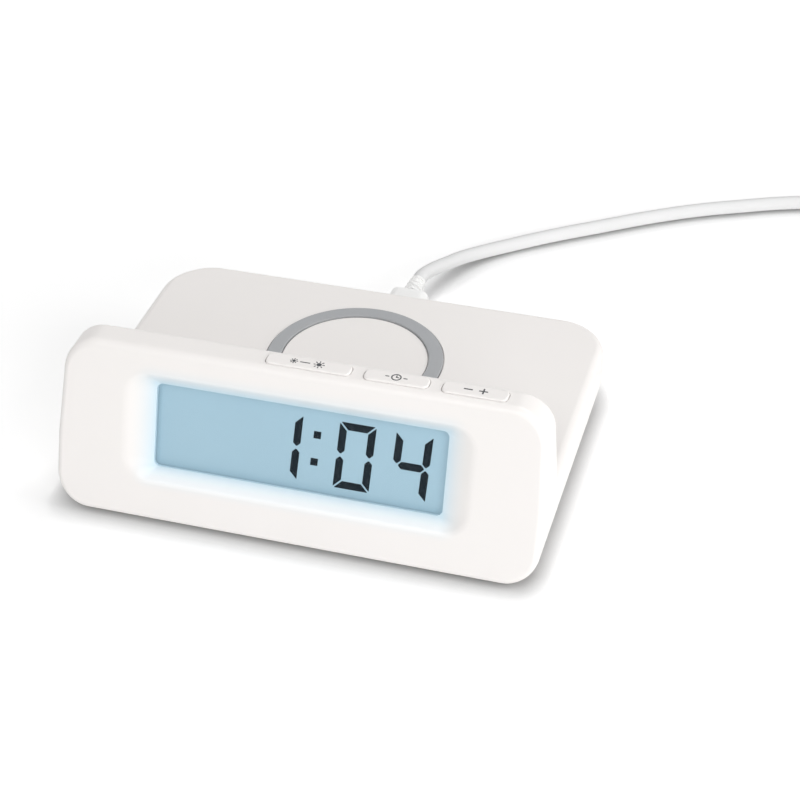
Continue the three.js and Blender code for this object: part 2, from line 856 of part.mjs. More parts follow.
function clockBoard() {
  const half = displayScrewX + smallBossRadius;
  const narrow = panelWidth / 2;
  const shoulder = displayScrewHeight + smallBossRadius + 1;
  const outline = [
    [-half, clockBoardBottom], [half, clockBoardBottom], [half, shoulder], [narrow, shoulder],
    [narrow, clockBoardTop], [-narrow, clockBoardTop], [-narrow, shoulder], [-half, shoulder],
  ].map(([u, v]) => new THREE.Vector2(u, v));
  const plate = backward(outline, clockBoardDepth, clockBoardDepth + boardThickness);
  const rear = clockBoardDepth + boardThickness;
  const onRear = (part, radius) => {
    const left = part.u - part.width / 2;
    const bottom = part.v - part.height / 2;
    const outline = roundedBox(left, left + part.width, bottom, bottom + part.height, radius);
    return backward(outline, rear - overlap, rear + part.depth);
  };
  const header = { u: ribbonX, v: clockHeaderV, width: headerWidth, height: headerDepth, depth: headerHeight };
  const holes = atDisplayScrews(clockBoardDepth - 1, rear + 1, smallScrewRadius + clearance);
  return onFace(cut(join(
    plate, onRear(clockChip, clockChip.height / 3), onRear(clockCrystal, clockCrystal.height / 2 - roundTrim),
    onRear(header, sheetRadius),
  ), ...holes));
}

// Screws stand head down at the origin: the head's flat seat is at Z = 0 and the shank points up
function screw(radius, headRadius, headHeight, length) {
  const point = radius * 1.5;
  return revolve([
    [0, -headHeight], [headRadius * 0.6, -headHeight], [headRadius, -headHeight * 0.45], [headRadius, 0],
    [radius, 0], [radius, length - point], [0, length],
  ], 12);
}

function coverScrew({ x, y }) {
  const seat = bodyBottom + screwHeadHeight + clearance;
  const length = padUnder - pilotRoof - screwTipGap - seat;
  return screw(screwRadius, screwHeadRadius, screwHeadHeight, length).translate([x, y, seat]);
}

function carrierScrew(side) {
  const seat = carrierUnder - clearance;
  return screw(smallScrewRadius, smallScrewHeadRadius, smallScrewHeadHeight, padUnder - screwTipGap - seat)
    .translate([side * carrierScrewReach, padCentreY, seat]);
}

function chargerScrew({ x, y }) {
  const seat = chargerBoardHeight + boardThickness + clearance;
  return screw(smallScrewRadius, smallScrewHeadRadius, smallScrewHeadHeight, seat - coverTop - screwTipGap)
    .rotate([180, 0, 0])
    .translate([x, y, seat]);
}

function displayScrew(side) {
  const seat = clockBoardDepth + boardThickness + clearance;
  const length = seat - recessDepth - screwTipGap;
  return onFace(screw(smallScrewRadius, smallScrewHeadRadius, smallScrewHeadHeight, length)
    .rotate([90, 0, 0])
    .translate([side * displayScrewX, seat, displayScrewHeight]));
}

// Charging parts
function chargingCoil() {
  return ring(0, padCentreY, coilTop - coilHeight, coilTop, coilHole, coilRadius, 32);
}

function ferriteSheet() {
  return cylinder(0, padCentreY, ferriteTop - ferriteHeight, ferriteTop, ferriteRadius, 36);
}

function coilCarrier() {
  const inner = ferriteRadius + clearance;
  const outer = inner + carrierWall;
  const dish = join(
    cylinder(0, padCentreY, carrierUnder, carrierFloorTop, outer, 36),
    ring(0, padCentreY, carrierFloorTop - overlap, coilTop, inner, outer, 36),
  );
  const ears = [-1, 1].map((side) => {
    const edge = side * (outer - carrierWall / 2);
    const tip = side * (carrierScrewReach + smallBossRadius);
    const outline = roundedBox(
      Math.min(edge, tip), Math.max(edge, tip), padCentreY - smallBossRadius, padCentreY + smallBossRadius,
      carrierWall / 2, 3,
    );
    return upright(outline, carrierUnder, carrierFloorTop);
  });
  const holes = atCarrierScrews(carrierUnder - 1, padUnder, smallScrewRadius + clearance);
  return cut(join(dish, ...ears), ...holes);
}

function chargerBoard() {
  const left = chargerBoardX - chargerBoardWidth / 2;
  const right = chargerBoardX + chargerBoardWidth / 2;
  const front = chargerBoardFront();
  const top = chargerBoardHeight + boardThickness;
  const plate = box(left, right, front, front + chargerBoardDepth, chargerBoardHeight, top);
  const onTop = (part, shift = 0) =>
    block(left + part.x + shift, front + part.y, part.width, part.depth, top - overlap, top + part.height);
  const header = {
    x: ribbonX - left, y: chargerHeaderY, width: headerWidth, depth: headerDepth, height: headerHeight,
  };
  const capacitors = Array.from({ length: capacitorCount }, (_, place) =>
    onTop(capacitor, place * capacitorPitch));
  const holes = chargerPostPlaces().map(({ x, y }) =>
    cylinder(x, y, chargerBoardHeight - 1, top + 1, smallScrewRadius + clearance, 12));
  return cut(join(plate, onTop(inductor), onTop(chargerChip), onTop(header), ...capacitors), ...holes);
}

function usbSocket() {
  const half = socketWidth / 2;
  const tall = socketHeight / 2;
  const section = (thin) => roundedBox(
    socketX - half + thin, socketX + half - thin, socketZ - tall + thin, socketZ + tall - thin,
    tall - thin - roundTrim,
  );
  const start = socketEndY - socketDepth;
  const mouth = backward(section(shellWall), start + socketBack, socketEndY + 1);
  return cut(backward(section(0), start, socketEndY), mouth);
}

// The flat cable leaves the clock board's header and ends over the charger board's header
function ribbonCable() {
  const half = ribbonThickness / 2;
  const reach = headerDepth / 2 - clearance;
  const depth = clockBoardDepth + boardThickness + headerHeight + clearance + half;
  const startY = faceFootY + clockHeaderV * Math.sin(faceLean) + depth * Math.cos(faceLean);
  const startZ = clockHeaderV * Math.cos(faceLean) - depth * Math.sin(faceLean);
  const endY = chargerBoardFront() + chargerHeaderY + reach;
  const endZ = chargerBoardHeight + boardThickness + headerHeight + clearance + half;
  const line = new THREE.SplineCurve([
    new THREE.Vector2(startY - reach * Math.sin(faceLean), startZ - reach * Math.cos(faceLean)),
    new THREE.Vector2(startY + ribbonLead, startZ + ribbonLeadRise),
    new THREE.Vector2(startY + ribbonBend, startZ + ribbonBendRise),
    new THREE.Vector2((startY + endY) / 2, (startZ + endZ) / 2),
    new THREE.Vector2(endY - ribbonLanding, endZ),
    new THREE.Vector2(endY, endZ),
  ]);
  const steps = 24;
  const upper = [];
  const lower = [];
  for (let step = 0; step <= steps; step += 1) {
    const point = line.getPoint(step / steps);
    const along = line.getTangent(step / steps);
    upper.push(new THREE.Vector2(point.x - along.y * half, point.y + along.x * half));
    lower.push(new THREE.Vector2(point.x + along.y * half, point.y - along.x * half));
  }
  return across([...lower, ...upper.reverse()], ribbonX - ribbonWidth / 2, ribbonX + ribbonWidth / 2);
}

// Backup cell
function batteryCap() {
  const disc = cylinder(cellX, cellY, bodyBottom, lugTop, capRadius, 36);
  const slot = block(cellX, cellY, coinSlotLength, coinSlotWidth, bodyBottom - 1, bodyBottom + coinSlotDepth);
  return cut(join(disc, ...lugPrism(capRadius, lugReach, lugAngle, 0, lugUnder, lugTop)), slot);
}

function coinCell() {
  const lid = cellRadius - cellLidInset;
  return revolve([
    [0, cellUnder], [cellRadius, cellUnder],
    [cellRadius, cellTop - cellLidStep], [lid, cellTop - cellLidStep],
    [lid, cellTop], [0, cellTop],
  ], 32).translate([cellX, cellY, 0]);
}

const cellHolderInner = cellRadius + clearance + contactThickness + clearance;

function cellHolder() {
  const under = cellTop + contactThickness + 2 * clearance;
  const top = under + bridgeThickness;
  const wallRing = ring(cellX, cellY, collarTop + clearance, cellTop, cellHolderInner, collarOuter, 32);
  const bridge = block(cellX, cellY, 2 * collarInner, bridgeWidth, under, top);
  const legs = [-1, 1].map((side) => {
    const reach = side * (cellHolderInner + collarOuter) / 2;
    const thickness = collarOuter - cellHolderInner - 2 * overlap;
    return block(cellX + reach, cellY, thickness, bridgeWidth, cellTop - overlap, top);
  });
  return join(wallRing, bridge, ...legs);
}

function topContact() {
  const under = cellTop + clearance;
  return block(cellX, cellY, 2 * cellRadius, contactWidth, under, under + contactThickness);
}

// A short spring strip at the front of the cell
function sideContact() {
  const inner = cellRadius + clearance;
  const strip = ring(
    cellX, cellY, cellUnder + contactThickness, cellTop - contactThickness, inner, inner + contactThickness, 32,
  );
  return strip.intersect(block(cellX, cellY - cellRadius, cellRadius, 2 * contactWidth, cellUnder, cellTop));
}

function rubberFoot({ x, y }) {
  const top = bodyBottom + footSeat;
  return revolve([
    [0, 0], [footRadius - footEdge, 0], [footRadius, footEdge], [footRadius, top], [0, top],
  ], 20).translate([x, y, 0]);
}

function buzzer() {
  const base = coverTop + clearance;
  const top = base + buzzerHeight;
  const can = cylinder(buzzerX, buzzerY, base, top, buzzerRadius, 24);
  const sound = cylinder(buzzerX, buzzerY, top - soundHoleDepth, top + 1, soundHoleRadius, 12);
  return cut(can, sound);
}

function padRing() {
  const half = padRingWidth / 2;
  const bottom = padTop + padRingProud - padRingHeight;
  const top = padTop + padRingProud;
  const inner = padRingRadius - half;
  const outer = padRingRadius + half;
  const round = 0.25;
  return revolve([
    [inner, bottom], [outer, bottom], [outer, top - round], [outer - round, top],
    [inner + round, top], [inner, top - round], [inner, bottom],
  ], 40).translate([0, padCentreY, 0]);
}

// Cable
function roundedBlock(outline, y0, y1, edge) {
  const sum = outline.reduce((total, point) => total.add(point), new THREE.Vector2());
  const middle = sum.divideScalar(outline.length);
  const level = (inset, y) => outline.map((point) => {
    const out = point.clone().sub(middle);
    const drawn = out.clone().multiplyScalar(1 - inset / out.length());
    return new THREE.Vector3(middle.x + drawn.x, y, middle.y + drawn.y);
  }).reverse();
  return loft([level(edge, y0), level(0, y0 + edge), level(0, y1 - edge), level(edge, y1)]);
}

function reliefProfile(length) {
  const ribs = 3;
  const pitch = length / (ribs * 2 + 1);
  const skin = 0.3;
  const draft = 0.1;
  const end = cordDiameter / 2 + skin;
  const groove = cordDiameter / 2 - draft;
  const profile = [[0, 0]];
  for (let rib = 0; rib <= ribs; rib += 1) {
    const start = rib * 2 * pitch;
    const radius = THREE.MathUtils.lerp(reliefRadius, end, start / length);
    profile.push([radius, start], [radius - draft, start + pitch]);
    if (rib < ribs) {
      profile.push([groove, start + pitch], [groove, start + 2 * pitch]);
    }
  }
  profile.push([0, length]);
  return profile;
}

function relief(length) {
  return revolve(reliefProfile(length), 10);
}

const reliefStart = plugFaceY + plugLength + clearance;
const cordStart = reliefStart + reliefLength + clearance;

function cordPlug() {
  const half = plugWidth / 2;
  const tall = plugHeight / 2;
  const grip = roundedBlock(
    roundedBox(socketX - half, socketX + half, socketZ - tall, socketZ + tall, plugRadius, 5),
    plugFaceY, plugFaceY + plugLength, plugEdge,
  );
  const thin = shellWall + clearance;
  const shell = backward(roundedBox(
    socketX + thin - socketWidth / 2, socketX + socketWidth / 2 - thin,
    socketZ - socketHeight / 2 + thin, socketZ + socketHeight / 2 - thin, plugTipRadius, 3,
  ), socketEndY - socketDepth + socketBack + clearance, plugFaceY + overlap);
  return join(grip, shell);
}

function plugRelief() {
  return relief(reliefLength).rotate([-90, 0, 0]).translate([socketX, reliefStart, socketZ]);
}

// The cord's route, chosen by hand: down from the plug, then along the table to the coil
const cordRest = cordDiameter / 2 + 0.1;
const cordPoints = [
  [socketX, cordStart, socketZ],
  [2.25, 70.5, 9.3],
  [3.2, 74.5, 8.6],
  [4.6, 79, 7.5],
  [6.3, 84, 6.1],
  [8.8, 90.8, 4.3],
  [12.9, 97.3, 2.9],
  [18.2, 103, cordRest],
  [31.6, 113.6, cordRest],
  [45.5, 123.3, cordRest],
  [59.7, 133, cordRest],
  [74.2, 141.5, cordRest],
  [86.7, 147.4, cordRest],
  [99.5, 152.9, cordRest],
  [112, 156.6, cordRest],
  [125.2, 157.9, cordRest],
];

function cordTube(points, steps) {
  const curve = new THREE.CatmullRomCurve3(points.map(([x, y, z]) => new THREE.Vector3(x, y, z)));
  const section = new THREE.Shape(Array.from({ length: cordSides }, (_, side) => {
    const angle = (2 * Math.PI * side) / cordSides;
    return new THREE.Vector2(Math.cos(angle), Math.sin(angle)).multiplyScalar(cordDiameter / 2);
  }));
  return toSolid(new THREE.ExtrudeGeometry(section, { steps, extrudePath: curve, bevelEnabled: false }));
}

const coilBottom = tieThickness + clearance;
const coilTurnRadius = coilOuterRadius - cordDiameter / 2;

// The cord leaves the coil on a tangent, where its side has come clear of the coil
function tailFrame() {
  const angle = THREE.MathUtils.degToRad(tailLeaves);
  const away = new THREE.Vector3(-Math.sin(angle), Math.cos(angle), 0);
  const clearOfCoil = Math.sqrt((coilOuterRadius + cordDiameter / 2 + clearance) ** 2 - coilTurnRadius ** 2);
  const start = new THREE.Vector3(Math.cos(angle), Math.sin(angle), 0)
    .multiplyScalar(coilTurnRadius)
    .add(coilCentre)
    .addScaledVector(away, clearOfCoil);
  return { away, start };
}

function cordTail() {
  const { away, start } = tailFrame();
  const end = usbHeight / 2;
  return cordTube([0, 1, 2, 3].map((stop) => {
    const point = start.clone().addScaledVector(away, (tailLength * stop) / 3);
    return [point.x, point.y, end + (tailStartZ - end) * (1 - THREE.MathUtils.smoothstep(stop, 0, 3))];
  }), tailSteps);
}

// Lays a solid that was made along +Y from Y = 0 on the tail's line, a length past its end
function onTail(solid, past) {
  const { away, start } = tailFrame();
  const place = start.clone().addScaledVector(away, tailLength + past);
  return solid.rotate([0, 0, tailLeaves]).translate([place.x, place.y, usbHeight / 2]);
}

function usbRelief() {
  return onTail(relief(reliefLength).rotate([90, 0, 0]), clearance + reliefLength);
}

function usbGrip() {
  const outline = roundedBox(-usbWidth / 2, usbWidth / 2, -usbHeight / 2, usbHeight / 2, usbCornerRadius);
  return onTail(roundedBlock(outline, 0, usbLength, plugEdge), reliefLength + 2 * clearance);
}

function usbShell() {
  const half = usbShellWidth / 2;
  const tall = usbShellHeight / 2;
  const shell = box(-half, half, 0, usbShellLength, -tall, tall);
  const inner = half - shellWall;
  const mouth = box(-inner, inner, usbShellBack, usbShellLength + 1, shellWall - tall, tall - shellWall);
  const tongue = box(clearance - inner, inner - clearance, 0, usbShellLength - clearance, 0, usbTongueHeight);
  return onTail(join(cut(shell, mouth), tongue), reliefLength + usbLength + 3 * clearance);
}

function cordTie() {
  const gap = clearance;
  const inner = coilInnerRadius - 2 * gap;
  const outer = coilOuterRadius + gap;
  const top = coilBottom + coilStackHeight + gap;
  const half = tieWidth / 2;
  const band = box(
    inner - tieThickness, outer + tieThickness, -half, half, 0, top + tieThickness,
  );
  const inside = box(inner, outer, -half - 1, half + 1, tieThickness, top);
  return cut(band, inside).rotate([0, 0, tieTurn]).translate([coilCentre.x, coilCentre.y, 0]);
}

function cordCoil() {
  const bottom = coilBottom;
  const round = 2;
  const top = bottom + coilStackHeight;
  return revolve([
    [coilInnerRadius + round, bottom], [coilOuterRadius - round, bottom], [coilOuterRadius, bottom + round],
    [coilOuterRadius, top - round], [coilOuterRadius - round, top], [coilInnerRadius + round, top],
    [coilInnerRadius, top - round], [coilInnerRadius, bottom + round], [coilInnerRadius + round, bottom],
  ], 28).translate([coilCentre.x, coilCentre.y, 0]);
}

// The meshes, in the order in which the clock comes apart from its front to its back
const clock = new THREE.Group();
clock.add(
  piece("main_housing", housing(), whitePlastic),
  piece("bottom_cover", bottomCover(), whitePlastic),
  piece("display_window", displayWindow(), clearPlastic),
  piece("lcd_panel", lcdPanel(), displayGlass),
  piece("light_guide", lightGuide(), milkyPlastic),
  piece("backlight_lamp", backlightLamp(), milkyPlastic),
  piece("display_holder", displayHolder(), whitePlastic),
  piece("contact_strip", contactStrip(), greyRubber),
  piece("clock_board", clockBoard(), greenBoard),
  piece("key_board", keyBoard(), greenBoard),
);
for (const span of buttonSpans()) {
  clock.add(
    piece(`button_${span.name}`, button(span), whitePlastic),
    piece(`switch_${span.name}`, keySwitch(span), blackPlastic),
    piece(`plunger_${span.name}`, plunger(span), blackPlastic),
  );
}
clock.add(
  piece("charging_coil", chargingCoil(), copper),
  piece("ferrite_sheet", ferriteSheet(), darkCeramic),
  piece("coil_carrier", coilCarrier(), blackPlastic),
  piece("charger_board", chargerBoard(), greenBoard),
  piece("usb_socket", usbSocket(), steel),
  piece("ribbon_cable", ribbonCable(), greyRubber),
  piece("battery_cap", batteryCap(), whitePlastic),
  piece("coin_cell", coinCell(), steel),
  piece("cell_holder", cellHolder(), blackPlastic),
  piece("cell_contact_top", topContact(), steel),
  piece("cell_contact_side", sideContact(), steel),
  piece("buzzer", buzzer(), blackPlastic),
  piece("pad_ring", padRing(), greyRubber),
);
// Adds one numbered mesh for each place
function addEach(name, places, make, finish) {
  places.forEach((place, index) => clock.add(piece(`${name}_${index + 1}`, make(place), finish)));
}
addEach("cover_screw", coverScrewPlaces(), coverScrew, steel);
addEach("charger_screw", chargerPostPlaces(), chargerScrew, steel);
addEach("rubber_foot", footPlaces(), rubberFoot, greyRubber);
addEach("display_screw", [-1, 1], displayScrew, steel);
addEach("carrier_screw", [-1, 1], carrierScrew, steel);
clock.add(
  piece("cord_plug", cordPlug(), whiteCord),
  piece("cord_relief", plugRelief(), whiteCord),
  piece("cord_run", cordTube(cordPoints, cordSteps), whiteCord),
  piece("cord_coil", cordCoil(), whiteCord),
  piece("cord_tie", cordTie(), blackRubber),
  piece("cord_tail", cordTail(), whiteCord),
  piece("cord_usb_relief", usbRelief(), whiteCord),
  piece("cord_usb_grip", usbGrip(), whiteCord),
  piece("cord_usb_shell", usbShell(), steel),
);

export default clock;
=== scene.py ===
# %% [markdown]
# # A desk clock with a charging pad
#
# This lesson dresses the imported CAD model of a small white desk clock. Its front stands up and
# leans back, with a sunken, lit liquid crystal display. Behind it is a low pad that charges what
# is laid on it, and a white cord leaves the pad's rear. The CAD pieces stay where they are, and
# get finishes; a few pieces are made again here with finer shapes. Blender works in metres.
# Shapes are given in millimetres below, and MM makes metres of them; finishes are in metres.

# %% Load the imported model
import json
import math

import bmesh
import bpy
from mathutils import Matrix, Quaternion, Vector

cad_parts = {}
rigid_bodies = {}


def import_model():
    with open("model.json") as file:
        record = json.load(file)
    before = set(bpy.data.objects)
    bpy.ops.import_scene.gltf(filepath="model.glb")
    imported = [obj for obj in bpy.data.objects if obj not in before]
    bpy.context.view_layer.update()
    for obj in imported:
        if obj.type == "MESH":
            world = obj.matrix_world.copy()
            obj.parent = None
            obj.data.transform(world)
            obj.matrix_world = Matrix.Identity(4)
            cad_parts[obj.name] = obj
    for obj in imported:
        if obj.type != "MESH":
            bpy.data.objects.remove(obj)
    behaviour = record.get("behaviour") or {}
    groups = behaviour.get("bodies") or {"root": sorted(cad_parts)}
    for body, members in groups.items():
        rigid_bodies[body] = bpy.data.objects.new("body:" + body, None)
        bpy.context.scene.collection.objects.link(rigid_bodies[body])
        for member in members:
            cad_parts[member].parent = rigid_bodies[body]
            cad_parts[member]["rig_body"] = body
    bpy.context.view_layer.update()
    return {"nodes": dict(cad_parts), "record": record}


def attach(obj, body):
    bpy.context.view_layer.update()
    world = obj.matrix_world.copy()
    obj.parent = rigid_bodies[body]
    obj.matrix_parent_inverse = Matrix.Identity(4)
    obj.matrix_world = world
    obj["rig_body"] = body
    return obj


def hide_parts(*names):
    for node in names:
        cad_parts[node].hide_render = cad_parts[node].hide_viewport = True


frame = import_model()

MM = 0.001
nodes = frame["nodes"]

# %% [markdown]
# ## The camera
# A photograph is matched by putting the camera where the photographer stood. The eye, the point
# it looks at and a slight roll were worked out from the clock's own corners. A long lens keeps
# the edges almost parallel, as they are in the photograph.

# %% Camera
EYE = Vector((132.32, -388.67, 319.44)) * MM
AIM = Vector((30.10, -46.86, 53.42)) * MM
ROLL = math.radians(-0.72)
FOCAL_LENGTH, SENSOR_WIDTH = 86.26, 36


def add_object(name, data):
    """A new object in the scene that holds the given data."""
    made = bpy.data.objects.new(name, data)
    bpy.context.scene.collection.objects.link(made)
    return made


lens = bpy.data.cameras.new("camera")
lens.lens = FOCAL_LENGTH
lens.sensor_width = SENSOR_WIDTH
camera = add_object("camera", lens)
camera.rotation_mode = "QUATERNION"
camera.rotation_quaternion = (EYE - AIM).to_track_quat("Z", "Y") @ Quaternion((0, 0, 1), ROLL)
camera.location = EYE
bpy.context.scene.camera = camera
print("camera distance:", round((EYE - AIM).length, 4))

# %% [markdown]
# ## The charging cord
# The cord is one white round cable, 4.2 mm thick, that leaves the pad's rear through a tapered
# sleeve, sinks to the table and runs off to the right. The photograph shows only that run, so
# the rest lies wound in a flat coil of two layers just outside the view, held by a tie, with its
# plug beside it. A curve with a round bevel is the natural way to model it: the curve's own line
# is the cord's middle, so its length can be measured.

# %% The cord's run over the table
CORD_DIAMETER = 4.2 * MM
REST = 2.2
RUN = [
    (2, 67.4, 9.4), (2.25, 70.5, 9.3), (3.2, 74.5, 8.6), (4.6, 79, 7.5), (6.3, 84, 6.1), (8.8, 90.8, 4.3),
    (12.9, 97.3, 2.9), (18.2, 103, REST), (31.6, 113.6, REST), (45.5, 123.3, REST), (59.7, 133, REST),
    (74.2, 141.5, REST), (86.7, 147.4, REST), (99.5, 152.9, REST), (112, 156.6, REST), (125.2, 157.9, REST),
]
print("points of the run:", len(RUN))


def ease(t):
    """0 before 0, 1 after 1, and a smooth step between."""
    t = min(max(t, 0), 1)
    return t * t * (3 - 2 * t)


# %% [markdown]
# The coil is a path in polar form: an angle that keeps turning, and a radius and a height that
# stay the same except where one turn steps over to the next. Each layer steps sideways at its
# own place, and the third turn climbs to the upper layer between those two places, so that no
# turn passes through another. A low hump lifts every turn over the tie's band.

# %% The coil's path
COIL_X, COIL_Y = 140, 186
RADII = (27.3, 23.1, 18.9, 18.9, 23.1, 27.3, 27.3)
START_ANGLE = -87
LEAVE_TURNED = 1902
PATH_STEP = 6
LOWER_STEP, UPPER_STEP, STEP_SPREAD = 235, 105, 60
LAYER, CLIMB_TURNED = 4.2, 2 * 360 + 170
LIFT, TIE_TURNED, TIE_SPREAD, TIE_REACH = 0.8, 227, 40, 1.4


def coil_point(turned):
    """The cord's middle after so many degrees of winding, in millimetres."""
    turn, angle = divmod(turned, 360)
    step_start = LOWER_STEP if turn < 2 else UPPER_STEP
    step = ease((angle - step_start) / STEP_SPREAD)
    radius = RADII[turn] + (RADII[turn + 1] - RADII[turn]) * step
    climb = ease((turned - CLIMB_TURNED) / STEP_SPREAD)
    over_tie = LIFT * ease(TIE_REACH - abs(angle - TIE_TURNED) / TIE_SPREAD)
    heading = math.radians(START_ANGLE + turned)
    return (
        COIL_X + radius * math.cos(heading),
        COIL_Y + radius * math.sin(heading),
        REST + LAYER * climb + over_tie,
    )


coil_path = [coil_point(turned) for turned in range(0, LEAVE_TURNED + 1, PATH_STEP)]
print("points of the coil:", len(coil_path))

# %% [markdown]
# The cord leaves the coil's upper layer in a straight line, and sinks to the height of its plug.

# %% The cord's tail
TAIL_HEADING = Vector((-0.2588, 0.9659, 0))
TAIL = [(6, 6.3), (11, 5.9), (16.3, 5.3), (22.3, 4.4), (28.3, 3.8)]
leave = Vector(coil_path[-1]).xy.to_3d()
tail_path = [tuple(leave + TAIL_HEADING * reach + Vector((0, 0, height))) for reach, height in TAIL]
cord_path = [Vector(place) * MM for place in RUN + coil_path + tail_path]
print("cord points:", len(cord_path))

# %% The cord as a curve
ROUND_STEPS, LENGTH_STEPS = 4, 5
cord_curve = bpy.data.curves.new("charging_cord", "CURVE")
cord_curve.dimensions = "3D"
cord_curve.bevel_depth = CORD_DIAMETER / 2
cord_curve.bevel_resolution = ROUND_STEPS
cord_curve.resolution_u = LENGTH_STEPS
cord_curve.use_fill_caps = True
spline = cord_curve.splines.new("BEZIER")
spline.bezier_points.add(len(cord_path) - 1)
for point, place in zip(spline.bezier_points, cord_path):
    point.co = place
    point.handle_left_type = point.handle_right_type = "AUTO"
cord = add_object("charging_cord", cord_curve)
print("cord length:", round(spline.calc_length(), 4))

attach(cord, "clock")
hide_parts("cord_run", "cord_coil", "cord_tail")

# %% [markdown]
# ## Writing materials as expressions
# A shader is a graph of nodes, and a graph is easier to read as a sentence. `Wire` holds one
# output socket, and Python's operators on it add Math nodes. `Graph` is a tree of nodes, and its
# `node` method adds any other node: its type, its settings, then its sockets. `Finish` is the
# graph of one material, and each finish is kept by its name.


# %% Wires and graphs
class Wire:
    """One output socket of a graph."""

    def __init__(self, graph, socket):
        self.graph = graph
        self.socket = socket

    def math(self, operation, first, second):
        return self.graph.node("ShaderNodeMath", {"operation": operation}, {0: first, 1: second})

    def __add__(self, other):
        return self.math("ADD", self, other)

    def __sub__(self, other):
        return self.math("SUBTRACT", self, other)

    def __rsub__(self, other):
        return self.math("SUBTRACT", other, self)

    def __mul__(self, other):
        return self.math("MULTIPLY", self, other)

    __radd__ = __add__
    __rmul__ = __mul__


class Graph:
    """A node tree that is written as expressions."""

    def __init__(self, tree):
        self.tree = tree

    def feed(self, socket, value):
        if isinstance(value, Wire):
            self.tree.links.new(value.socket, socket)
        else:
            socket.default_value = value

    def node(self, kind, settings, sockets, output=0):
        node = self.tree.nodes.new(kind)
        for name, value in settings.items():
            setattr(node, name, value)
        for name, value in sockets.items():
            self.feed(node.inputs[name], value)
        return Wire(self, node.outputs[output])

    def blend(self, factor, first, second):
        return self.node("ShaderNodeMix", {"data_type": "RGBA"}, {0: factor, 6: first, 7: second}, 2)

    def seen_rays(self):
        """1 for what the eye sees directly, in a reflection or through glass, and 0 for other light."""
        rays = ("Is Camera Ray", "Is Glossy Ray", "Is Transmission Ray")
        first, second, third = (self.node("ShaderNodeLightPath", {}, {}, name) for name in rays)
        return first + second + third


# %% Finishes
BLACK, WHITE = (0, 0, 0, 1), (1, 1, 1, 1)
finishes = {}


class Finish(Graph):
    """One material, its shader and the texture helpers that most finishes share."""

    def __init__(self, name, **fixed):
        material = bpy.data.materials.new(name)
        material.use_nodes = True
        finishes[name] = material
        super().__init__(material.node_tree)
        self.shader = self.tree.nodes["Principled BSDF"]
        for key, value in fixed.items():
            self.set(key.replace("_", " ").title().replace("Ior", "IOR"), value)

    def set(self, name, value):
        self.feed(self.shader.inputs[name], value)

    def place(self):
        return self.node("ShaderNodeTexCoord", {}, {}, "Object")

    def noise(self, scale, detail=2.0, stretch=None):
        where = self.place()
        if stretch:
            where = self.node("ShaderNodeMapping", {}, {"Vector": where, "Scale": stretch})
        return self.node("ShaderNodeTexNoise", {}, {"Vector": where, "Scale": scale, "Detail": detail})

    def positive(self, value):
        """The value where it is above 0, and 0 elsewhere."""
        return self.node("ShaderNodeMath", {"operation": "MAXIMUM"}, {0: value, 1: 0})

    def past(self, place, middle, half):
        """How far a place lies outside a band, whose middle and half width are in millimetres."""
        off = self.node("ShaderNodeMath", {"operation": "ABSOLUTE"}, {0: place - middle * MM})
        return self.positive(off - half * MM)

    def bump(self, height, strength, depth):
        self.set("Normal", self.node(
            "ShaderNodeBump", {}, {"Height": height, "Strength": strength, "Distance": depth},
        ))


def rgb(red, green, blue):
    """A colour from its 0 to 255 screen values."""
    shares = [value / 255 for value in (red, green, blue)]
    linear = [share / 12.92 if share <= 0.04045 else ((share + 0.055) / 1.055) ** 2.4 for share in shares]
    return (*linear, 1)


print("mid grey as light:", round(rgb(128, 128, 128)[0], 3))

# %% [markdown]
# ## Moulded plastics
# The housing is glossy-to-satin ABS. Such a shell isn't perfectly smooth: its mould was spark
# eroded to a very fine grain, and its gloss varies a little. Three noises give all of that
# without a picture: a broad one for the colour, a finer one for the gloss, and a very fine one
# for the grain. The keys share the housing's look. The inner mouldings, the rubbers and the
# cord's jacket follow the same recipe with a coarser grain.

# %% Plastics
CLOUD_SCALE, CLOUD_DETAIL = 35, 3
GLOSS_SCALE, GLOSS_SPREAD = 220, 0.12
GRAIN_STRENGTH = 0.25


def moulded_plastic(name, colour, shade, roughness, grain, depth):
    """Moulded plastic with a fine grain, a slightly uneven gloss and a faint cloud of colour."""
    finish = Finish(name)
    finish.colour = finish.blend(finish.noise(CLOUD_SCALE, CLOUD_DETAIL), rgb(*colour), rgb(*shade))
    finish.set("Base Color", finish.colour)
    finish.set("Roughness", finish.noise(GLOSS_SCALE) * GLOSS_SPREAD + (roughness - GLOSS_SPREAD / 2))
    finish.bump(finish.noise(grain), GRAIN_STRENGTH, depth)
    return finish


SHELL_LOOK = ((246, 242, 240), (243, 240, 237), 0.36, 3200, 0.00002)
PLASTICS = {
    "white_shell": SHELL_LOOK,
    "white_frame": ((236, 236, 232), (228, 228, 223), 0.5, 1800, 0.00003),
    "milky_guide": ((232, 240, 244), (220, 232, 240), 0.3, 900, 0.00002),
    "black_plastic": ((32, 33, 35), (24, 25, 27), 0.42, 2200, 0.00003),
    "grey_rubber": ((176, 178, 180), (166, 168, 171), 0.72, 1500, 0.00004),
    "black_rubber": ((38, 38, 39), (30, 30, 31), 0.78, 1500, 0.00004),
}
for name, look in PLASTICS.items():
    moulded_plastic(name, *look)
cord_plastic = moulded_plastic("white_cord", (252, 252, 251), (250, 250, 249), 0.5, 1600, 0.00003)
cord_plastic.set("Sheen Weight", 0.5)
cord_plastic.set("Sheen Roughness", 0.5)
print("plastics:", len(finishes))

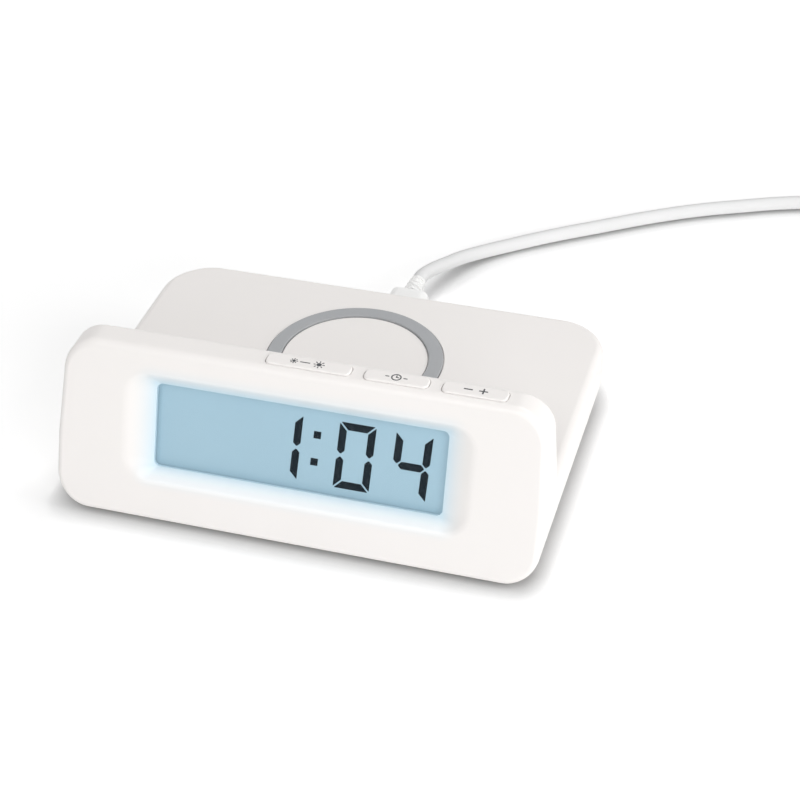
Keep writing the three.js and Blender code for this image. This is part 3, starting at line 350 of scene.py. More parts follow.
# %% [markdown]
# ## Glass, ink, board and metal
# The display is a clear window over a panel that is lit from behind, with dark figures on it.
# Some pieces are seldom seen, yet a good part shows them well when it is opened: the green
# boards with their traces, the copper coil, the brushed steel of the screws and the dull
# ferrite. The panel, the two inks and the ferrite waver between two near colours and have a
# fine grain, so one helper makes all four. The boards take a brick pattern, whose joints pass
# for traces, and the metals take a noise that can be drawn out along one axis, as brushing does.


# %% The display, the inks and the ferrite
def speckled(name, colour, shade, speckle, grain, bump, **fixed):
    """Two near colours and a grain, from (scale, detail) noises; bump is (strength, depth)."""
    finish = Finish(name, **fixed)
    finish.set("Base Color", finish.blend(finish.noise(*speckle), rgb(*colour), rgb(*shade)))
    finish.bump(finish.noise(*grain), *bump)
    return finish


window = Finish("clear_window", base_color=rgb(90, 110, 120), alpha=0.03, ior=1.49)
window.set("Roughness", window.noise(60, 3) * 0.05 + 0.04)

glass = speckled(
    "display_glass", (130, 160, 175), (136, 166, 180), (25, 2), (2500, 1), (0.1, 0.00001),
    roughness=0.35, ior=1.5,
)
glass.set("Emission Color", glass.blend(glass.noise(14, 1), rgb(170, 198, 214), rgb(178, 206, 220)))
glass.set("Emission Strength", 0.38)

speckled(
    "figure_ink", (16, 24, 30), (22, 30, 38), (300, 2), (1500, 1), (0.1, 0.00001),
    roughness=0.6, specular_ior_level=0.1,
)
speckled("mark_ink", (58, 60, 64), (74, 76, 80), (900, 3), (2500, 2), (0.2, 0.00001), roughness=0.6)
speckled("ferrite", (44, 43, 44), (62, 60, 60), (700, 4), (1400, 3), (0.3, 0.00004), roughness=0.6)
print("with the display, inks and ferrite:", len(finishes))

# %% The circuit boards
board = Finish("green_board", roughness=0.4)
board.set("Base Color", board.node("ShaderNodeTexBrick", {"offset": 0.5}, {
    "Vector": board.place(), "Color1": rgb(18, 84, 52), "Color2": rgb(22, 96, 60),
    "Mortar": rgb(52, 130, 84), "Scale": 260, "Mortar Size": 0.02,
}))
board.bump(board.noise(900), 0.2, 0.00003)
print("with the boards:", len(finishes))


# %% The metals
def metal(name, colour, shade, roughness, stretch):
    """Bright metal with fine lines, drawn out along an axis whose stretch is below 1."""
    finish = Finish(name, metallic=1.0)
    lines = finish.noise(900, 3, stretch)
    finish.set("Base Color", finish.blend(lines, rgb(*colour), rgb(*shade)))
    finish.set("Roughness", lines * 0.15 + roughness)
    finish.bump(lines, 0.2, 0.00002)


metal("steel", (205, 206, 208), (180, 182, 186), 0.24, (1, 0.1, 1))
metal("gilt", (232, 196, 116), (214, 172, 92), 0.22, (1, 1, 1))
metal("copper_wire", (214, 132, 92), (186, 104, 66), 0.3, (1, 1, 1))
print("finishes:", sorted(finishes))

# %% Give every CAD piece its finish
slot_of = {part["node"]: part["material_slot"] for part in frame["record"]["subparts"]}
for name, node in nodes.items():
    node.material_slots[0].material = finishes[slot_of[name]]
print("finished nodes:", len(slot_of))

# %% [markdown]
# ## Working on the leaning face
# The display is built flat and then leaned back with the face, because measures on a flat face
# are easier to read. Places on it are given as across, behind the face, and up the face; one
# matrix takes them to the model.

# %% The face's own frame
LEAN = math.radians(19)
FACE_FOOT = -46.86
on_face = Matrix.Translation((0, FACE_FOOT, 0)) @ Matrix.Rotation(-LEAN, 4, "X")
to_face = on_face.inverted()
PANEL_DEPTH = min((to_face @ (vertex.co / MM)).y for vertex in nodes["lcd_panel"].data.vertices)
print("display glass lies behind the face by", round(PANEL_DEPTH, 2), "mm")


# %% Making a finished piece
def new_piece(name, shape, body, finish):
    """A finished mesh piece: its millimetres made metres, given its finish and put on its body."""
    bmesh.ops.scale(shape, vec=(MM, MM, MM), verts=shape.verts)
    mesh = bpy.data.meshes.new(name)
    shape.to_mesh(mesh)
    shape.free()
    piece = add_object(name, mesh)
    mesh.materials.append(finishes[finish])
    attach(piece, body)
    print(name, "faces:", len(mesh.polygons))
    return piece


# %% [markdown]
# The display is lit from behind, and its light spills a little way into the white slopes around
# it. Here that glow is painted: the housing's own finish is the white plastic with a painted
# glow in its emission and a pale blue tint in its base colour. Each point is taken to the face's
# frame, its distance from the window's edge is measured there, and the painted glow fades over a
# few millimetres, strongest low down. The sill under the display catches most, so it gets a
# painted white band of light too.

# %% The housing's finish, with a painted glow
# A rounded rectangle on the face is its width, bottom, top and corner radius.
WINDOW = (76.4, 15.3, 37.5, 1.6)
GLOW_REACH, GLOW_SHARE, GLOW_LOSS = 6.5, 0.6, 0.8
GLOW_DEPTH = 5
GLOW_STRENGTH = 0.22
SILL_REACH, SILL_SHARE = 4.3, 0.77
SIDE_FADE = 4


def shell_with_painted_glow():
    """White plastic with a painted glow around the display window, in its emission and base colour."""
    finish = moulded_plastic("housing_shell", *SHELL_LOOK)
    flat = finish.node("ShaderNodeMapping", {"vector_type": "TEXTURE"}, {
        "Vector": finish.place(), "Location": (0, FACE_FOOT * MM, 0), "Rotation": (-LEAN, 0, 0),
    })
    across, behind, up = (
        finish.node("ShaderNodeSeparateXYZ", {}, {"Vector": flat}, axis) for axis in ("X", "Y", "Z")
    )
    width, low, high = WINDOW[:3]
    past_side = finish.past(across, 0, width / 2)
    past_depth = finish.past(behind, 0, GLOW_DEPTH)
    past_edge = finish.past(up, (low + high) / 2, (high - low) / 2)
    squares = past_side * past_side + past_depth * past_depth + past_edge * past_edge
    distance = finish.node("ShaderNodeMath", {"operation": "SQRT"}, {0: squares})
    near = finish.positive(1 - distance * (1 / (GLOW_REACH * MM)))
    strongest_low = 1 - up * (GLOW_LOSS / (high * MM))
    # Painted light: near the window the base colour turns pale blue, as if lit by the display.
    finish.set("Base Color", finish.blend(near * near, finish.colour, rgb(208, 228, 238)))
    # Painted glow in the emission colour, fading away from the window and strongest low down.
    glow = finish.blend(near * near * strongest_low * GLOW_SHARE, BLACK, rgb(206, 234, 250))
    # A painted band of white light on the sill. From the window down to the sill's far edge,
    # sill * (1 - sill) rises from 0 to a quarter and falls back, so four times that is a soft band.
    sill = (low * MM - up) * (1 / (SILL_REACH * MM))
    painted_sill_light = finish.positive(sill * (1 - sill)) * (4 * SILL_SHARE)
    # The painted sill band fades out beside the window.
    beside = finish.positive(1 - (past_side + past_depth) * (1 / (SIDE_FADE * MM)))
    finish.set("Emission Color", finish.blend(painted_sill_light * beside, glow, WHITE))
    finish.set("Emission Strength", GLOW_STRENGTH)


shell_with_painted_glow()
print("the glow reaches", GLOW_REACH, "mm")

# %% [markdown]
# ## Choosing edges
# A bevel needs to be told which edges to round. On shapes that start as boxes, an edge is known
# by how its two ends lie, so each test below takes the ends' places and says yes or no.

# %% Tests for edges
X_AXIS, Y_AXIS, Z_AXIS = 0, 1, 2
APART, LEVEL = 0.01, 0.001


def runs(axis):
    """Passes edges whose ends lie apart on an axis."""
    return lambda a, b: abs(a[axis] - b[axis]) > APART


def stays(axis):
    """Passes edges whose ends share their place on an axis."""
    return lambda a, b: abs(a[axis] - b[axis]) < LEVEL


def above(height):
    """Passes edges that lie above a height."""
    return lambda a, b: min(a.z, b.z) > height


def chosen(edges, wanted):
    """The edges that pass a test."""
    return [edge for edge in edges if wanted(edge.verts[0].co, edge.verts[1].co)]


# %% [markdown]
# ## The figures
# A liquid crystal figure is built from straight bars that almost touch. Each bar here is a thin
# plate whose corners are cut off at 45 degrees: by almost its full width where two bars meet in
# a mitre, and by almost half of it where a bar ends in a point. One bar with four cuts fits all
# seven places of a figure, so a figure is a short plan and needs no outline of its own.

# %% Figure measures
BAR, BAR_THICK = 1.95, 0.06
BAR_GAP = 0.44
MITRE, POINT = 0.93, 0.42
FIGURE_BOTTOM, FIGURE_TOP = 17.15, 34.7
FIGURE_MIDDLE = (FIGURE_BOTTOM + FIGURE_TOP) / 2
FIGURE_WIDTH = 9.45
SLANT = 0.046
FIGURES = [("1", -1.2), ("0", 17.85), ("4", 32.45)]
COLON = [(3.9, 30.1), (3.85, 22.9)]
DOT = 1.9
BARS_OF = {"0": "abcdef", "1": "bc", "4": "bcfg"}
STANDING, LYING = True, False
BEFORE_PANEL = 0.04
print("figures are", round(FIGURE_TOP - FIGURE_BOTTOM, 2), "mm tall")


def bar(shape, start, standing, length, cuts):
    """One bar from a point, with cuts (start left, start right, end left, end right) in widths."""
    turn = Matrix.Rotation(math.radians(-90), 4, "Y") if standing else Matrix.Identity(4)
    flat = Matrix.Translation((length / 2, 0, 0)) @ Matrix.Diagonal((length, BAR_THICK, BAR, 1))
    made = bmesh.ops.create_cube(shape, size=1, matrix=flat)["verts"]
    # The keys of a dict hold each edge once, in a fixed order.
    edges = dict.fromkeys(edge for vertex in made for edge in vertex.link_edges)
    corners = []
    for edge in chosen(edges, runs(Y_AXIS)):
        place = edge.verts[0].co
        corners.append((edge, cuts[(2 if place.x > length / 2 else 0) + (0 if place.z > 0 else 1)]))
    for edge, cut in corners:
        if cut:
            made += bmesh.ops.bevel(
                shape, geom=[edge], offset=cut * BAR, offset_type="OFFSET", affect="EDGES", segments=1,
                profile=0.5, material=-1,
            )["verts"]
    whole = Matrix.Translation((start[0], 0, start[1])) @ turn
    bmesh.ops.transform(shape, matrix=whole, verts=[vertex for vertex in set(made) if vertex.is_valid])


# %% Lay out the bars of each figure
def figure(shape, digit, right):
    """One figure, placed by the middle line of its right-hand bars."""
    left = right - FIGURE_WIDTH + BAR
    tall = FIGURE_MIDDLE - FIGURE_BOTTOM - 2 * BAR_GAP
    wide = FIGURE_WIDTH - 2 * BAR_GAP
    inner = right - left - 2 * BAR_GAP
    low, high = FIGURE_BOTTOM + BAR_GAP, FIGURE_MIDDLE + BAR_GAP
    start = left - BAR / 2 + BAR_GAP
    plan = {
        "a": ((start, FIGURE_TOP - BAR / 2), LYING, wide, (0, MITRE, 0, MITRE)),
        "d": ((start, FIGURE_BOTTOM + BAR / 2), LYING, wide, (MITRE, 0, MITRE, 0)),
        "g": ((left + BAR_GAP, FIGURE_MIDDLE), LYING, inner, (POINT, POINT, POINT, POINT)),
        "b": ((right, high), STANDING, tall, (POINT, POINT, MITRE, 0)),
        "c": ((right, low), STANDING, tall, (MITRE, 0, POINT, POINT)),
        "e": ((left, low), STANDING, tall, (0, MITRE, POINT, POINT)),
        "f": ((left, high), STANDING, tall, (POINT, POINT, 0, MITRE)),
    }
    for name in BARS_OF[digit]:
        bar(shape, *plan[name])


shape = bmesh.new()
for digit, right in FIGURES:
    figure(shape, digit, right)
for across, up in COLON:
    dot = Matrix.Translation((across, 0, up)) @ Matrix.Diagonal((DOT, BAR_THICK, DOT, 1))
    bmesh.ops.create_cube(shape, size=1, matrix=dot)
for vertex in shape.verts:
    vertex.co.x += SLANT * (vertex.co.z - FIGURE_MIDDLE)
bmesh.ops.translate(shape, vec=(0, PANEL_DEPTH - BEFORE_PANEL, 0), verts=shape.verts)
bmesh.ops.transform(shape, matrix=on_face, verts=shape.verts)
new_piece("time_figures", shape, "clock", "figure_ink")

# %% [markdown]
# ## The housing
# The white housing is one moulding: a leaning front with a sunken frame for the display, and a
# low pad behind. Its softness is all in its rounded edges, so it is made as a moulder's pattern
# is: two plain blocks are rounded edge by edge with bevels, joined, hollowed by smaller copies of
# themselves, and then the openings are cut. Bevels give true arcs, and an exact Boolean joins
# them where a hand-made mesh would need hundreds of matched points.

# %% Housing measures
WIDTH, BOTTOM, TOP = 127.8, 1.0, 44.4
PAD_TOP, REAR = 19.4, 46.0
UPRIGHT_DEPTH = 23.7
UPRIGHT_REAR = FACE_FOOT + UPRIGHT_DEPTH
CORNER, REAR_CORNER = 9.0, 14.0
FACE_EDGE, PAD_EDGE = 1.8, 2.4
LEAST_EDGE = 0.4
TAPER, TAPER_STEPS = 1.0, 5
WALL = 2.0
# A hair keeps two surfaces from lying in one plane, which a Boolean can't settle.
HAIR = 0.01
# Bevel steps outside and inside
FINE, COARSE = 20, 5
print("housing:", WIDTH, "by", round(REAR - FACE_FOOT, 2), "by", TOP, "mm")


def make_box(shape, low, high):
    """A plain box between two corners."""
    low, high = Vector(low), Vector(high)
    place = Matrix.Translation((low + high) / 2) @ Matrix.Diagonal((*(high - low), 1))
    bmesh.ops.create_cube(shape, size=1, matrix=place)


def round_edges(shape, radius, steps, wanted):
    """Rounds each edge that passes a test."""
    bmesh.ops.bevel(
        shape, geom=chosen(shape.edges, wanted), offset=radius, offset_type="OFFSET", affect="EDGES",
        segments=steps, profile=0.5, material=-1,
    )


def rounded_prism(low, high, radius, axis, steps=6):
    """A box with the edges along one axis rounded."""
    shape = bmesh.new()
    make_box(shape, low, high)
    round_edges(shape, radius, steps, runs(axis))
    return shape


# %% The two rounded blocks
def upright_block(inset, steps):
    """The standing front, drawn in by an inset on every side."""
    shape = bmesh.new()
    half = WIDTH / 2 - inset
    front, rear = inset / math.cos(LEAN), UPRIGHT_DEPTH - inset
    make_box(shape, (-half, front, BOTTOM + inset), (half, rear, TOP - inset))
    round_edges(shape, CORNER - inset, steps, runs(Y_AXIS))
    edge = FACE_EDGE / 2 if inset else FACE_EDGE
    round_edges(shape, edge, max(steps // 2, 2), stays(Y_AXIS))
    straight = TOP - CORNER - PAD_TOP
    for level in range(TAPER_STEPS):
        bmesh.ops.bisect_plane(
            shape, geom=shape.verts[:] + shape.edges[:] + shape.faces[:],
            plane_co=(0, 0, PAD_TOP + straight * level / TAPER_STEPS), plane_no=(0, 0, 1),
        )
    for vertex in shape.verts:
        drawn = TAPER * min(max((vertex.co.z - PAD_TOP) / straight, 0), 1)
        vertex.co.x -= math.copysign(drawn, vertex.co.x) if abs(vertex.co.x) > half / 2 else 0
        if vertex.co.y < (front + rear) / 2:
            vertex.co.y += vertex.co.z * math.tan(LEAN)
    bmesh.ops.translate(shape, vec=(0, FACE_FOOT, 0), verts=shape.verts)
    return shape


def base_block(inset, steps):
    """The low pad, from inside the standing front to the rear."""
    shape = bmesh.new()
    half = WIDTH / 2 - inset - HAIR
    front = UPRIGHT_REAR - 2 * (WALL + FACE_EDGE)
    low, high = BOTTOM + inset + HAIR, PAD_TOP - inset
    make_box(shape, (-half, front, low), (half, REAR - inset, high))
    upright = runs(Z_AXIS)
    round_edges(shape, REAR_CORNER - inset, steps, lambda a, b: a.y > 0 and upright(a, b))

    def on_level(level):
        """Passes edges on one level, apart from the one at the very front."""
        return lambda a, b: (
            abs(a.z - level) < LEVEL and abs(b.z - level) < LEVEL and max(a.y, b.y) > front + LEVEL
        )

    round_edges(shape, CORNER - inset, steps, on_level(low))
    round_edges(shape, max(PAD_EDGE - inset, LEAST_EDGE), max(steps // 2, 2), on_level(high))
    return shape


# %% [markdown]
# A Boolean is a modifier, so it works on objects. Each tool is a short-lived object that is
# taken away once its cut is made.

# %% Boolean helpers
def tool(shape):
    """A short-lived object, still in millimetres."""
    mesh = bpy.data.meshes.new("tool")
    bmesh.ops.recalc_face_normals(shape, faces=shape.faces)
    shape.to_mesh(mesh)
    shape.free()
    return add_object("tool", mesh)


def combine(base, other, operation):
    """Joins a tool to an object, or cuts it out, and removes the tool."""
    modifier = base.modifiers.new("combine", "BOOLEAN")
    modifier.operation = operation
    modifier.solver = "EXACT"
    modifier.object = other
    settled = base.evaluated_get(bpy.context.evaluated_depsgraph_get())
    base.modifiers.clear()
    base.data = bpy.data.meshes.new_from_object(settled)
    bpy.data.objects.remove(other)


def gather(*shapes):
    """Several shapes that don't touch, as one."""
    whole = bmesh.new()
    for shape in shapes:
        mesh = bpy.data.meshes.new("part")
        shape.to_mesh(mesh)
        shape.free()
        whole.from_mesh(mesh)
        bpy.data.meshes.remove(mesh)
    return whole


# %% Hollow shell
housing = tool(upright_block(0, FINE))
combine(housing, tool(base_block(0, FINE)), "UNION")
hollow = tool(upright_block(WALL, COARSE))
combine(hollow, tool(base_block(WALL, COARSE)), "UNION")
combine(housing, hollow, "DIFFERENCE")
print("hollow shell:", len(housing.data.polygons))

# %% [markdown]
# The recess is the clock's best feature: four long slopes run down to the display, and their
# upper rim melts into the face. Its cutter is bridged between two rounded rectangles, cut into
# many steps, and the steps are then set on a curve that is straight at first and levels out at
# the rim.

# %% Recess cutter
RECESS = (93.2, 11.4, 40.8, 7.0)
RECESS_DEPTH = 3.0
STRAIGHT_PART = 0.7
RIM_STEPS = 24
CORNER_STEPS = 10
# How far a cutter stands out of what it cuts
PROUD = 1
print("recess:", RECESS[0], "by", round(RECESS[2] - RECESS[1], 2), "mm,", RECESS_DEPTH, "deep")


def leaned(shape):
    """A shape made flat on the face, leaned back with it."""
    bmesh.ops.transform(shape, matrix=on_face, verts=shape.verts)
    return shape


def rounded_loop(shape, width, bottom, top, radius, depth):
    """A flat rounded rectangle on the face; gives back its face."""
    place = Matrix.Translation((0, depth, (bottom + top) / 2)) @ Matrix.Rotation(math.radians(90), 4, "X")
    size = Matrix.Diagonal((width, top - bottom, 1, 1))
    grid = bmesh.ops.create_grid(shape, x_segments=1, y_segments=1, size=0.5, matrix=place @ size)
    made = bmesh.ops.bevel(
        shape, geom=grid["verts"], offset=radius, offset_type="OFFSET", affect="VERTICES",
        segments=CORNER_STEPS, profile=0.5, material=-1,
    )
    return next(face for face in shape.faces if made["verts"][0] in face.verts)


def recess_tool():
    """The cutter of the sunken frame, down to the window's edge."""
    shape = bmesh.new()
    inner = rounded_loop(shape, *WINDOW, RECESS_DEPTH)
    outer = rounded_loop(shape, *RECESS, 0)
    bridge = bmesh.ops.bridge_loops(shape, edges=list(inner.edges) + list(outer.edges))
    slopes = chosen(bridge["edges"], runs(Y_AXIS))
    bmesh.ops.subdivide_edges(shape, edges=slopes, cuts=RIM_STEPS - 1)
    pace = 2 / (1 + STRAIGHT_PART)
    for vertex in shape.verts:
        out = 1 - vertex.co.y / RECESS_DEPTH
        if out < STRAIGHT_PART:
            share = 1 - pace * out
        else:
            share = pace * (1 - out) ** 2 / (2 * (1 - STRAIGHT_PART))
        vertex.co.y = RECESS_DEPTH * share - (HAIR / 2 if vertex.co.y < LEVEL else 0)
    lifted = bmesh.ops.extrude_face_region(shape, geom=[outer])["geom"]
    ends = [item for item in lifted if isinstance(item, bmesh.types.BMVert)]
    bmesh.ops.translate(shape, vec=(0, -PROUD, 0), verts=ends)
    if outer.is_valid:
        bmesh.ops.delete(shape, geom=[outer], context="FACES_ONLY")
    return leaned(shape)


# %% Round posts and rings
def post(x, y, low, high, radius, steps=24):
    """A round post between two heights."""
    shape = bmesh.new()
    bmesh.ops.create_cone(
        shape, cap_ends=True, segments=steps, radius1=radius, radius2=radius, depth=high - low,
        matrix=Matrix.Translation((x, y, (low + high) / 2)),
    )
    return shape


def band(x, y, inner, outer, low, high, steps):
    """A flat ring about a standing line: a rectangle spun all the way round."""
    shape = bmesh.new()
    profile = [(inner, low), (outer, low), (outer, high), (inner, high)]
    corners = [shape.verts.new((radius, 0, height)) for radius, height in profile]
    edges = [shape.edges.new((corners[i - 1], corners[i])) for i in range(len(corners))]
    bmesh.ops.spin(
        shape, geom=edges, cent=(0, 0, 0), axis=(0, 0, 1), angle=2 * math.pi, steps=steps, use_merge=True,
    )
    bmesh.ops.translate(shape, vec=(x, y, 0), verts=shape.verts)
    bmesh.ops.recalc_face_normals(shape, faces=shape.faces)
    return shape


# %% [markdown]
# Inside, a plate backs the recess, and round bosses take the screws of the display, of the
# bottom cover and of the coil's carrier. A small ledge under each key holds the key board. They
# are plain prisms and posts that run a little into what they stand on, so that a union joins
# them well.

# %% Inner plate, bosses and ledges
PLATE_HALF, PLATE_BACK, PLATE_CORNER = 51.1, 3.9, 2
PLATE_LOW, PLATE_HIGH = 9.4, 40.8
OVERLAP = 0.5
SMALL_BOSS, SMALL_PILOT = 2.6, 1.2
DISPLAY_SCREW_X, DISPLAY_SCREW_UP = 48.5, 14
DISPLAY_BOSS_END, DISPLAY_PILOT_END = 5.7, 6.2
COVER_SCREWS = [(x, y) for x in (-50, 50) for y in (-21.96, 22)]
COVER_BOSS, COVER_PILOT = 3.4, 1.45
COVER_BOSS_FOOT, COVER_PILOT_FOOT, PILOT_ROOF = 8.4, 8.1, 1
CARRIER_SCREW_X = 33
CARRIER_BOSS_FOOT, CARRIER_PILOT_FOOT = 14.5, 14.2
PAD_CENTRE = (UPRIGHT_REAR + REAR) / 2
PAD_UNDER = PAD_TOP - WALL
BUTTONS = {"light_key": (-10, 12), "set_key": (15.3, 31.8), "adjust_key": (35.1, 51.6)}
LEDGE_HALF_X, LEDGE_HALF_Y, LEDGE_CORNER = 2, 0.95, 0.2
LEDGE_INWARD, LEDGE_LOW, LEDGE_TOP = 0.45, 36, 36.9


def display_posts(end, radius):
    """Posts or holes at the display's two screws, from the recess to a depth."""
    turn = Matrix.Rotation(math.radians(-90), 4, "X")
    places = (-DISPLAY_SCREW_X, DISPLAY_SCREW_X)
    made = [post(x, -DISPLAY_SCREW_UP, RECESS_DEPTH, end, radius) for x in places]
    for shape in made:
        bmesh.ops.transform(shape, matrix=turn, verts=shape.verts)
    return [leaned(shape) for shape in made]


def carrier_posts(low, high, radius):
    """Posts or holes at the two screws of the coil's carrier."""
    return [post(x, PAD_CENTRE, low, high, radius) for x in (-CARRIER_SCREW_X, CARRIER_SCREW_X)]


plate = rounded_prism(
    (-PLATE_HALF, WALL / 2, PLATE_LOW), (PLATE_HALF, PLATE_BACK, PLATE_HIGH), PLATE_CORNER, Y_AXIS,
)
combine(housing, tool(leaned(plate)), "UNION")
combine(housing, tool(gather(*display_posts(DISPLAY_BOSS_END, SMALL_BOSS))), "UNION")
forms = [post(x, y, COVER_BOSS_FOOT, PAD_UNDER + OVERLAP, COVER_BOSS, 32) for x, y in COVER_SCREWS]
forms += carrier_posts(CARRIER_BOSS_FOOT, PAD_UNDER + OVERLAP, SMALL_BOSS)
ledge_y = UPRIGHT_REAR - WALL - LEDGE_INWARD
for low, high in BUTTONS.values():
    middle = (low + high) / 2
    forms.append(rounded_prism(
        (middle - LEDGE_HALF_X, ledge_y - LEDGE_HALF_Y, LEDGE_LOW),
        (middle + LEDGE_HALF_X, ledge_y + LEDGE_HALF_Y, LEDGE_TOP), LEDGE_CORNER, X_AXIS, 2,
    ))
combine(housing, tool(gather(*forms)), "UNION")
print("with bosses and ledges:", len(housing.data.polygons))

# %% [markdown]
# All the openings that don't touch are cut at once: the recess, the pilot holes, the slots of
# the keys, the groove of the grip ring and the mouth of the socket. The window comes after
# them, because it runs into the recess, and the open underside comes last.

# %% Cut every opening
GAP, KEY_GAP = 0.3, 0.16
KEY_Y, KEY_DEPTH, KEY_CORNER = -27.366, 4.4, 1.5
KEY_SLOT_FOOT = 40.1
RING_RADIUS, RING_WIDTH = 22.0, 4.0
GROOVE_DEPTH, GROOVE_STEPS = 0.7, 96
SOCKET_X, SOCKET_Z = 2.0, 9.4
SOCKET_HALF, SOCKET_RISE, SOCKET_DEPTH, SOCKET_CORNER = 4.8, 1.9, 9.4, 1.85
WINDOW_FRONT, WINDOW_BACK = RECESS_DEPTH - 0.1, 4.2
FRONT_LIP, COVER_LEVEL = 6, 5.8
OUTSIDE = 5

holes = [recess_tool(), *display_posts(DISPLAY_PILOT_END, SMALL_PILOT)]
holes += [post(x, y, COVER_PILOT_FOOT, PAD_UNDER - PILOT_ROOF, COVER_PILOT) for x, y in COVER_SCREWS]
holes += carrier_posts(CARRIER_PILOT_FOOT, PAD_UNDER, SMALL_PILOT)
for low, high in BUTTONS.values():
    reach = KEY_DEPTH / 2 + KEY_GAP
    holes.append(rounded_prism(
        (low - KEY_GAP, KEY_Y - reach, KEY_SLOT_FOOT), (high + KEY_GAP, KEY_Y + reach, TOP + PROUD),
        KEY_CORNER + KEY_GAP, Z_AXIS, CORNER_STEPS,
    ))
holes.append(band(
    0, PAD_CENTRE, RING_RADIUS - RING_WIDTH / 2 - GAP, RING_RADIUS + RING_WIDTH / 2 + GAP,
    PAD_TOP - GROOVE_DEPTH, PAD_TOP + PROUD, GROOVE_STEPS,
))
holes.append(rounded_prism(
    (SOCKET_X - SOCKET_HALF, REAR - SOCKET_DEPTH, SOCKET_Z - SOCKET_RISE),
    (SOCKET_X + SOCKET_HALF, REAR + PROUD, SOCKET_Z + SOCKET_RISE), SOCKET_CORNER, Y_AXIS,
))
combine(housing, tool(gather(*holes)), "DIFFERENCE")

width, low, high, radius = WINDOW
side = width / 2 - HAIR
opening = rounded_prism(
    (-side, WINDOW_FRONT, low + HAIR), (side, WINDOW_BACK, high - HAIR), radius, Y_AXIS, CORNER_STEPS,
)
combine(housing, tool(leaned(opening)), "DIFFERENCE")
under = bmesh.new()
make_box(under, (-WIDTH, FACE_FOOT + FRONT_LIP, -OUTSIDE), (WIDTH, REAR + 2 * OUTSIDE, COVER_LEVEL))
combine(housing, tool(under), "DIFFERENCE")
print("all openings:", len(housing.data.polygons))

# %% [markdown]
# A moulding's rounded edges look right only when the light runs smoothly over them. Each face is
# set smooth, edges sharper than 35 degrees stay crisp, and weighted normals let the large flat
# faces decide, so that no shadow creeps over them from a narrow bevel.

# %% Smooth a finished piece
SHARP_ANGLE, FLAT_WEIGHT = math.radians(35), 80
SLIVER = 0.002


def smooth(piece):
    """Smooth shading with crisp sharp edges and flat faces that stay flat."""
    for polygon in piece.data.polygons:
        polygon.use_smooth = True
    piece.data.set_sharp_from_angle(angle=SHARP_ANGLE)
    weights = piece.modifiers.new("flat_faces", "WEIGHTED_NORMAL")
    weights.keep_sharp = True
    weights.weight = FLAT_WEIGHT
    return piece


def from_tool(made):
    """The shape of a short-lived object as a bmesh, with its slivers merged."""
    shape = bmesh.new()
    shape.from_mesh(made.data)
    bpy.data.objects.remove(made)
    bmesh.ops.remove_doubles(shape, verts=shape.verts, dist=SLIVER)
    bmesh.ops.dissolve_degenerate(shape, edges=shape.edges, dist=SLIVER)
    return shape


housing_piece = smooth(new_piece("housing_moulding", from_tool(housing), "clock", "housing_shell"))
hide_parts("main_housing")

# %% [markdown]
# ## The keys and the pad's ring
# Three keys lie in the top of the standing front, a little proud of it, with soft edges and a
# thin gap all round. Under the top each has two ears that stop it from being pulled out. The
# pad's grey ring is soft rubber that keeps what is laid on it from slipping. A key is a rounded
# block with its ears joined on, and the ring is a rectangle spun once round, which keeps it
# truly round.

# %% Keys
KEY_FOOT, KEY_TOP = 41.0, TOP + 0.46
KEY_EDGE, KEY_EDGE_STEPS = 0.5, 6
EAR = 1.0
EAR_LOW, EAR_TOP = 41.3, 42.1
EAR_FRONT, EAR_REAR = 0.3, 0.6

for body, (low, high) in BUTTONS.items():
    front, rear = KEY_Y - KEY_DEPTH / 2, KEY_Y + KEY_DEPTH / 2
    key = rounded_prism((low, front, KEY_FOOT), (high, rear, KEY_TOP), KEY_CORNER, Z_AXIS, CORNER_STEPS)
    round_edges(key, KEY_EDGE, KEY_EDGE_STEPS, above(KEY_TOP - APART))
    ears = bmesh.new()
    make_box(ears, (low - EAR, front + EAR_FRONT, EAR_LOW), (high + EAR, rear - EAR_REAR, EAR_TOP))
    moulding = tool(key)
    combine(moulding, tool(ears), "UNION")
    piece = smooth(new_piece(body.replace("_key", "_button"), from_tool(moulding), body, "white_shell"))
    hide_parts("button_" + body.replace("_key", ""))

# %% [markdown]
# Each key carries a small printed mark: a dim sun and a bright one for the light, a clock ring
# for setting, and a minus and a plus for adjusting. A picture of them would blur close up, so
# each mark is built of strokes as a thin layer of ink, and rides on its key.

# %% Strokes and suns
INK = 0.04
MARK_Y = KEY_Y + 0.1
RAYS, RAY_WIDTH = 8, 0.26


def stroke(shape, x, y, length, width, turn=0.0):
    """A short printed bar about a point of a key's top."""
    place = Matrix.Translation((x, y, KEY_TOP + INK / 2)) @ Matrix.Rotation(turn, 4, "Z")
    bmesh.ops.create_cube(shape, size=1, matrix=place @ Matrix.Diagonal((length, width, INK, 1)))


def sun(shape, x, radius):
    """A disc with rays around it: its parts are shares of the radius."""
    disc_radius, ray_middle, ray_length = 0.45 * radius, 0.8 * radius, 0.4 * radius
    bmesh.ops.create_cone(
        shape, cap_ends=True, segments=24, radius1=disc_radius, radius2=disc_radius, depth=INK,
        matrix=Matrix.Translation((x, MARK_Y, KEY_TOP + INK / 2)),
    )
    for number in range(RAYS):
        turn = number * 2 * math.pi / RAYS
        ray_x, ray_y = x + ray_middle * math.cos(turn), MARK_Y + ray_middle * math.sin(turn)
        stroke(shape, ray_x, ray_y, ray_length, RAY_WIDTH, turn)


# %% Marks on the keys
DIM_X, DASH_X, BRIGHT_X = -2.9, 0.0, 3.6
CLOCK_X, CLOCK_INNER, CLOCK_OUTER, HAND_X = 23.4, 0.98, 1.3, 23.8
MINUS_X, PLUS_X = 41.5, 45.3


def light_mark():
    """A dim sun, a dash and a bright sun."""
    shape = bmesh.new()
    sun(shape, DIM_X, 1.0)
    stroke(shape, DASH_X, MARK_Y, 2.6, 0.3)
    sun(shape, BRIGHT_X, 1.45)
    return shape


